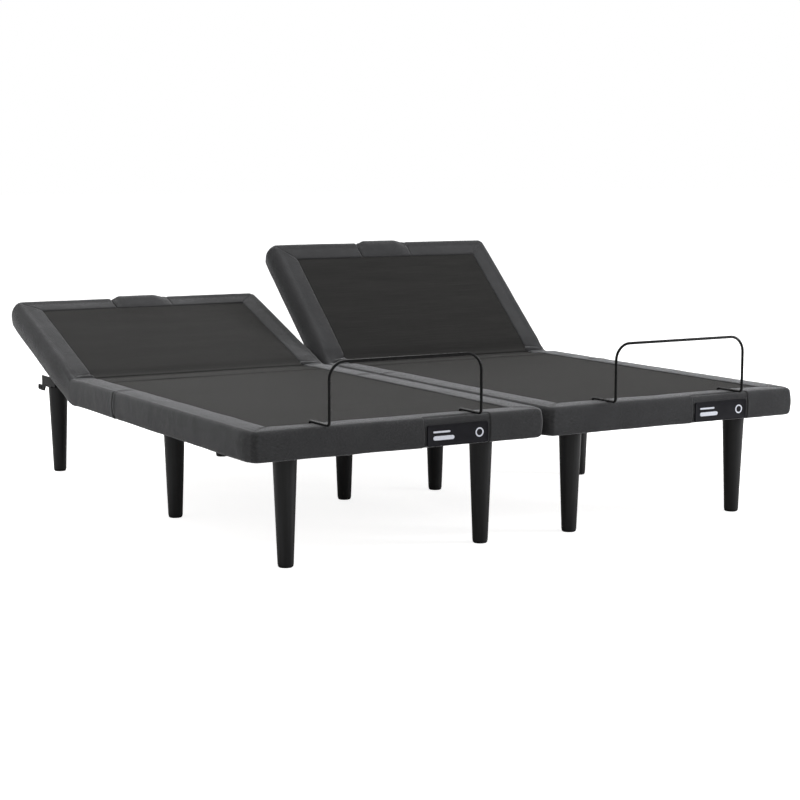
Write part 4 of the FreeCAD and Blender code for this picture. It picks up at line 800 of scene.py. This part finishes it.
def decks(bed):
    """The three deck panels of one unit, each over one hinge."""
    head, thigh, knee = bed.head_hinge.y, bed.thigh_hinge.y, bed.knee.y
    lap = 0.0009    # half the gap between two panels at their joint

    def at_head(y):
        crease = -0.0062 * bump(y, head, 0.0036) + 0.0014 * bump(y, head - 0.012, 0.007)
        crease += 0.0008 * bump(y, head + 0.012, 0.008)
        end = -0.0075 * bump(y, HINGE_PANEL, 0.0034) + 0.0012 * bump(y, HINGE_PANEL + 0.010, 0.006)
        return crease + end

    def at_seat(y):
        return -0.0075 * bump(y, HINGE_PANEL, 0.0034) + 0.0012 * bump(y, HINGE_PANEL - 0.010, 0.006)

    def at_foot(y):
        return np.zeros(len(y))

    head_deck = deck_slab(
        f"{bed.name}_head_deck", bed, HINGE_PANEL + lap, bed.head_y - bed.border + TUCK,
        ((head, FOLD + 0.01, 0.0055), (head, 0.016, 0.0012), (HINGE_PANEL + lap, 0.016, 0.0012),
         (bed.head_y - bed.border, 0.02, 0.003)),
        at_head, 31, lambda points: lay_back(bed, points), open_low=True)
    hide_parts(f"{bed.name}_head_deck_pad", "seat_deck_pads")
    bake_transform(head_deck)
    seat_deck = deck_slab(
        f"{bed.name}_seat_deck", bed, THIGH_SPLIT, HINGE_PANEL - lap,
        ((thigh, FOLD + 0.01, 0.0075), (HINGE_PANEL - lap, 0.016, 0.0012)),
        at_seat, 41, open_low=True, open_high=True)
    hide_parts("seat_deck_pads", f"{bed.name}_thigh_deck_pad")
    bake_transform(seat_deck)
    foot_deck = deck_slab(
        f"{bed.name}_foot_deck", bed, bed.foot_y + bed.border - TUCK, THIGH_SPLIT,
        ((knee, 0.095, 0.0085), (bed.foot_y + bed.border, 0.02, 0.003)),
        at_foot, 41, open_high=True)
    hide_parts(f"{bed.name}_thigh_deck_pad", f"{bed.name}_foot_deck_pad")
    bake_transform(foot_deck)


def grip_pad(bed):
    """The raised pad sewn over the head-end border, with its ends pulled down into the border."""
    loop = border_profile(bed)
    on_top, on_side = loop[:, 1] > -0.004, loop[:, 0] > bed.border - 0.02
    outer = loop[(loop[:, 1] > -0.050) & (on_top | on_side)]
    lengths = around(outer)
    low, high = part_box(f"{bed.name}_head_grip_pad")
    half = (high.x - low.x) / 2
    inner_y = bed.head_y - bed.border
    xs = spaced(-half, half, 0.0075, ((-half, 0.03, 0.0022), (half, 0.03, 0.0022)))
    tangents = np.gradient(outer, axis=0)
    outward = np.stack([-tangents[:, 1], tangents[:, 0]], 1)
    outward /= np.linalg.norm(outward, axis=1)[:, None]
    share = lengths / lengths[-1]
    edge = np.sin(np.minimum(1, np.minimum(share / 0.13, (1 - share) / 0.28)) * math.pi / 2)
    fade = np.interp(outer[:, 0] - outer[:, 1], [0.0, 0.012, 0.052, bed.border, bed.border + 0.03],
                     [0.02, 0.12, 0.95, 1.0, 0.3])
    lower = outer - outward * 0.0030
    size = 2 * len(outer)
    along = np.concatenate([lengths, lengths[::-1] + 0.3])
    points, cloth, wear = [], [], []
    for x in xs:
        slope = smooth((half - abs(x) + 0.001) / (0.036 if x < 0 else 0.062))
        lip = 1 - math.exp(-(((half - abs(x)) / 0.004) ** 2))
        height = -0.0016 + (0.0026 * lip + 0.0118 * slope * fade) * edge
        ring = np.vstack([outer + outward * height[:, None], lower[::-1]])
        for k in range(size):
            points.append((bed.x + x, inner_y + ring[k][0], bed.top + ring[k][1]))
            cloth.append((x, along[k]))
            wear.append(0.35 if k < size // 2 else 0.0)
    points = np.array(points)
    top = np.tile(np.arange(size) < size // 2, len(xs))
    pull = np.sin(points[:, 1] / 0.0068) * bump(np.abs(points[:, 0] - bed.x), half - 0.012, 0.016) * 0.0007
    points[:, 2] += (rough_up(points, 51, 0.03, 0.0010) + pull) * top
    points = lay_back(bed, points)
    faces, rings = loft(len(xs), size)
    piece = make_piece(f"{bed.name}_grip_pad_cover", points, facing_out(points, faces), BORDER,
                       cloth, wear, rings)
    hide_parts(f"{bed.name}_head_grip_pad")
    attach(piece, f"{bed.name}_head_section")


def stitch_line(points, normals, gap=0.0055, long=0.0036, thick=0.00055):
    """Vertices and faces of a row of sewn stitches along a polyline."""
    vertices, faces = [], []
    points = [Vector(p) for p in points]
    normals = [Vector(n).normalized() for n in normals]
    steps = [0.0]
    for a, b in zip(points, points[1:]):
        steps.append(steps[-1] + (b - a).length)

    def at(distance):
        for i in range(1, len(steps)):
            if steps[i] >= distance or i == len(steps) - 1:
                t = (distance - steps[i - 1]) / max(steps[i] - steps[i - 1], 1e-9)
                return points[i - 1].lerp(points[i], t), normals[i - 1].lerp(normals[i], t).normalized()

    spot = gap / 2
    while spot + long < steps[-1]:
        first, up = at(spot)
        last, _ = at(spot + long)
        ahead = (last - first).normalized()
        across = up.cross(ahead).normalized()
        base = len(vertices)
        for share, wide, rise in STITCH:
            centre = first.lerp(last, share) + up * (rise * thick)
            for turn in range(6):
                a = math.pi * turn / 3
                vertices.append(centre + (across * math.cos(a) + up * math.sin(a)) * thick * wide)
        faces += loft(len(STITCH), 6, base)[0]
        spot += gap
    return vertices, faces


def sew(name, lines, body, lay=None):
    """One piece of thread made of several rows of stitches."""
    vertices, faces = [], []
    for points, normals in lines:
        if lay is not None:
            tips = lay(np.array(points, float) + np.array(normals, float) * 0.01)
            points = lay(np.array(points, float))
            normals = tips - points
        made, joined = stitch_line(points, normals)
        faces += [tuple(v + len(vertices) for v in face) for face in joined]
        vertices += made
    piece = make_piece(name, vertices, faces, THREAD)
    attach(piece, body)


def name_plate(bed):
    """A moulded label with a rounded rim, and a plain mark of two bars and a ring."""
    low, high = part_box(f"{bed.name}_name_plate")
    centre = (low + high) / 2
    wide, tall = (high.x - low.x) / 2, (high.z - low.z) / 2
    back, front = high.y + 0.0012, low.y

    def outline(inset, radius=0.007, count=6):
        ring = []
        for sx, sz, start in ((1, 1, 0), (-1, 1, 90), (-1, -1, 180), (1, -1, 270)):
            for step in range(count + 1):
                a = math.radians(start + 90 * step / count)
                r = max(radius - inset, 0.0006)
                ring.append((sx * (wide - inset - r) + r * math.cos(a),
                             sz * (tall - inset - r) + r * math.sin(a)))
        return ring

    depth = front - back
    face_share = 0.74    # the face lies this far out, and the rim round it stands proud
    layers = [(0.0, 0.0), (0.0, 0.55), (0.0004, 0.82), (0.0013, 0.97), (0.0024, 1.0), (0.0034, 0.96),
              (0.0041, 0.80), (0.0050, face_share), (0.020, face_share)]
    vertices = []
    for inset, share in layers:
        for x, z in outline(inset):
            vertices.append((centre.x + x, back + depth * share, centre.z + z))
    faces, (_, last) = loft(len(layers), len(vertices) // len(layers))
    faces = facing_out(np.array(vertices), faces)
    piece = make_piece(f"{bed.name}_label", vertices, faces, PLATE, sharp=[last])
    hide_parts(f"{bed.name}_name_plate")
    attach(piece, f"{bed.name}_foot_section")

    face_y = back + depth * face_share
    proud, sunk = 0.0005, -0.0004    # the mark's face and its foot, out from the label's face
    vertices, faces = [], []

    def raised(ring):
        base = len(vertices)
        middle = (sum(x for x, _ in ring) / len(ring), sum(z for _, z in ring) / len(ring))
        for share, out in ((1.0, sunk), (1.0, proud * 0.7), (0.93, proud)):
            for x, z in ring:
                px = middle[0] + (x - middle[0]) * share if share < 1 else x
                pz = middle[1] + (z - middle[1]) * share if share < 1 else z
                vertices.append((centre.x + px, face_y - out, centre.z + pz))
        faces.extend(loft(3, len(ring), base)[0])

    def pill(x, z, length, height):
        r = height / 2
        ring = arc((x + length / 2 - r, z), r, -90, 90, 9) + arc((x - length / 2 + r, z), r, 90, 270, 9)
        raised(ring)

    left = -wide + 0.020
    pill(left + 0.029, 0.0105, 0.058, 0.0055)
    pill(left + 0.036, -0.0075, 0.072, 0.0125)
    base = len(vertices)
    ring_x, outer_r, inner_r, count = wide - 0.031, 0.0140, 0.0098, 40
    for radius, out in ((outer_r, sunk), (outer_r, proud), (inner_r, proud), (inner_r, sunk)):
        for k in range(count):
            a = 2 * math.pi * k / count
            vertices.append((centre.x + ring_x + radius * math.cos(a), face_y - out,
                             centre.z + radius * math.sin(a)))
    for row in range(4):
        for k in range(count):
            near, far = base + row * count, base + (row + 1) % 4 * count
            turn = (k + 1) % count
            faces.append((near + k, near + turn, far + turn, far + k))
    mark = make_piece(f"{bed.name}_label_mark", vertices, faces, MARK)
    flat_faces = mark.modifiers.new("edges", "WEIGHTED_NORMAL")
    flat_faces.keep_sharp = True
    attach(mark, f"{bed.name}_foot_section")


def crown_row(bed, inner_y, forward, spots):
    """Stitches over a border's crown; a spot is how far out it lies, its x and how far on it lies in y."""
    points = []
    for r, x, y in spots:
        z = bed.top + 0.0012 + 0.0014 * math.sin(math.pi * r / bed.border)
        points.append((x, inner_y + forward * y, z))
    return points, [(0, 0, 1)] * len(points)


def mitre_rows(bed, inner_y, forward):
    """A row of stitches along each side of both mitres."""
    rows = []
    for side in (-1, 1):
        inner_x = bed.x + side * bed.deck_half
        for shift in (-0.0045, 0.0045):
            spots = [(r, inner_x + side * (r + max(shift, 0)), r + max(-shift, 0))
                     for r in np.linspace(0.008, bed.border - 0.016, 10)]
            rows.append(crown_row(bed, inner_y, forward, spots))
    return rows


def foot_stitches(bed):
    """Stitches along both edges of the label patch and the foot-end mitres."""
    low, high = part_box(f"{bed.name}_name_plate")
    middle = (low.x + high.x) / 2
    patch = (high.x - low.x) / 2 + PATCH_MARGIN
    lines = []
    for side in (-1, 1):
        x = middle + side * (patch - 0.0042)
        zs = np.linspace(bed.bottom + 0.010, bed.top - 0.016, 12)
        lines.append(([(x, bed.foot_y - 0.0010, z) for z in zs], [(0, -1, 0)] * len(zs)))
    lines += mitre_rows(bed, bed.foot_y + bed.border, -1)
    sew(f"{bed.name}_foot_stitches", lines, f"{bed.name}_foot_section")


def head_stitches(bed):
    """Stitches along the head-end mitres and both ends of the grip pad."""
    inner_y = bed.head_y - bed.border
    lines = mitre_rows(bed, inner_y, 1)
    low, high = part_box(f"{bed.name}_head_grip_pad")
    half = (high.x - low.x) / 2
    for side in (-1, 1):
        x = bed.x + side * (half + 0.0042)
        spots = [(r, x, r) for r in np.linspace(0.006, bed.border - 0.016, 10)]
        lines.append(crown_row(bed, inner_y, 1, spots))
    sew(f"{bed.name}_head_stitches", lines, f"{bed.name}_head_section",
        lambda points: lay_back(bed, points))


for bed in BEDS.values():
    head_cover(bed)
    seat_cover(bed)
    foot_cover(bed)
    decks(bed)
    grip_pad(bed)
    name_plate(bed)
    foot_stitches(bed)
    head_stitches(bed)


# ------------------------------------------------------------ floor, light and camera


def flat_floor():
    """A pale floor that glows for the camera, so it comes out white and hardly lights the bed."""
    mesh = bpy.data.meshes.new("floor")
    reach = 60.0
    corners = [(-reach, -reach, 0), (reach, -reach, 0), (reach, reach, 0), (-reach, reach, 0)]
    mesh.from_pydata(corners, [], [(0, 1, 2, 3)])
    floor = bpy.data.objects.new("floor", mesh)
    bpy.context.scene.collection.objects.link(floor)
    f = Finish("floor_paint", 0.9, Specular_IOR_Level=0.0, Emission_Color=(1, 1, 1, 1))
    seen = f.add("ShaderNodeLightPath").outputs["Is Camera Ray"]
    f.put(f.ramp(seen, 0, 1, 0.04, 0.86), f.shader.inputs["Emission Strength"])
    speck = f.noise(f.object_place(), 3.0, 2.0)
    f.colour(f.blend(f.ramp(speck, 0.3, 0.7), (0.66, 0.66, 0.66), (0.68, 0.68, 0.68)))
    mesh.materials.append(f.material)


def lamp(name, place, aim, size, power, tint=(1, 1, 1)):
    """A soft rectangular lamp, turned towards a point."""
    data = bpy.data.lights.new(name, "AREA")
    data.shape = "RECTANGLE"
    data.size, data.size_y = size
    data.energy = power
    data.color = tint
    made = bpy.data.objects.new(name, data)
    bpy.context.scene.collection.objects.link(made)
    made.location = place
    made.rotation_mode = "QUATERNION"
    made.rotation_quaternion = (Vector(aim) - Vector(place)).to_track_quat("-Z", "Y")


def studio_light(tree):
    """A white backdrop, and the softer light of a room that is brighter overhead than at its walls."""
    white = tree.nodes["Background"]
    white.inputs[0].default_value = (1, 1, 1, 1)
    white.inputs[1].default_value = 1.0
    room = tree.nodes.new("ShaderNodeBackground")
    direction = tree.nodes.new("ShaderNodeTexCoord")
    split = tree.nodes.new("ShaderNodeSeparateXYZ")
    rise = tree.nodes.new("ShaderNodeMapRange")
    for socket, number in zip(("From Min", "From Max", "To Min", "To Max"), (0.0, 0.9, 0.23, 0.92)):
        rise.inputs[socket].default_value = number
    seen = tree.nodes.new("ShaderNodeLightPath")
    choose = tree.nodes.new("ShaderNodeMixShader")
    out = next(node for node in tree.nodes if node.type == "OUTPUT_WORLD")
    tree.links.new(direction.outputs["Generated"], split.inputs[0])
    tree.links.new(split.outputs[2], rise.inputs["Value"])
    tree.links.new(rise.outputs[0], room.inputs[1])
    tree.links.new(seen.outputs["Is Camera Ray"], choose.inputs[0])
    tree.links.new(room.outputs[0], choose.inputs[1])
    tree.links.new(white.outputs[0], choose.inputs[2])
    tree.links.new(choose.outputs[0], out.inputs["Surface"])


flat_floor()
world = bpy.data.worlds.new("studio")
bpy.context.scene.world = world
world.use_nodes = True
studio_light(world.node_tree)
lamp("overhead", (0.0, 1.8, 4.5), (0, 0.2, 0.3), (5.0, 3.2), 148)
lamp("rear", (0.3, 5.2, 2.6), (0, 0.2, 0.4), (6.0, 1.8), 70)
lamp("left_fill", (-5.5, 1.6, 2.2), (0, 0.6, 0.5), (3.0, 2.5), 20)
lamp("right_fill", (4.5, -3.5, 1.4), (0.9, -0.6, 0.45), (1.6, 1.4), 165, (0.97, 0.975, 1.0))

CAMERA_PLACE = (-3.0543, -5.3620, 1.1364)
CAMERA_DROP, CAMERA_TURN = 7.52, -30.34    # degrees below level, and to the side of +Y
camera_data = bpy.data.cameras.new("camera")
camera_data.sensor_fit = "HORIZONTAL"
camera_data.sensor_width = 36.0
camera_data.lens = 80.0
camera_data.clip_end = 200
camera = bpy.data.objects.new("camera", camera_data)
bpy.context.scene.collection.objects.link(camera)
camera.location = CAMERA_PLACE
camera.rotation_euler = (math.radians(90 - CAMERA_DROP), 0, math.radians(CAMERA_TURN))
bpy.context.scene.camera = camera
bpy.context.scene.view_settings.view_transform = "Standard"
bpy.context.scene.view_settings.look = "None"
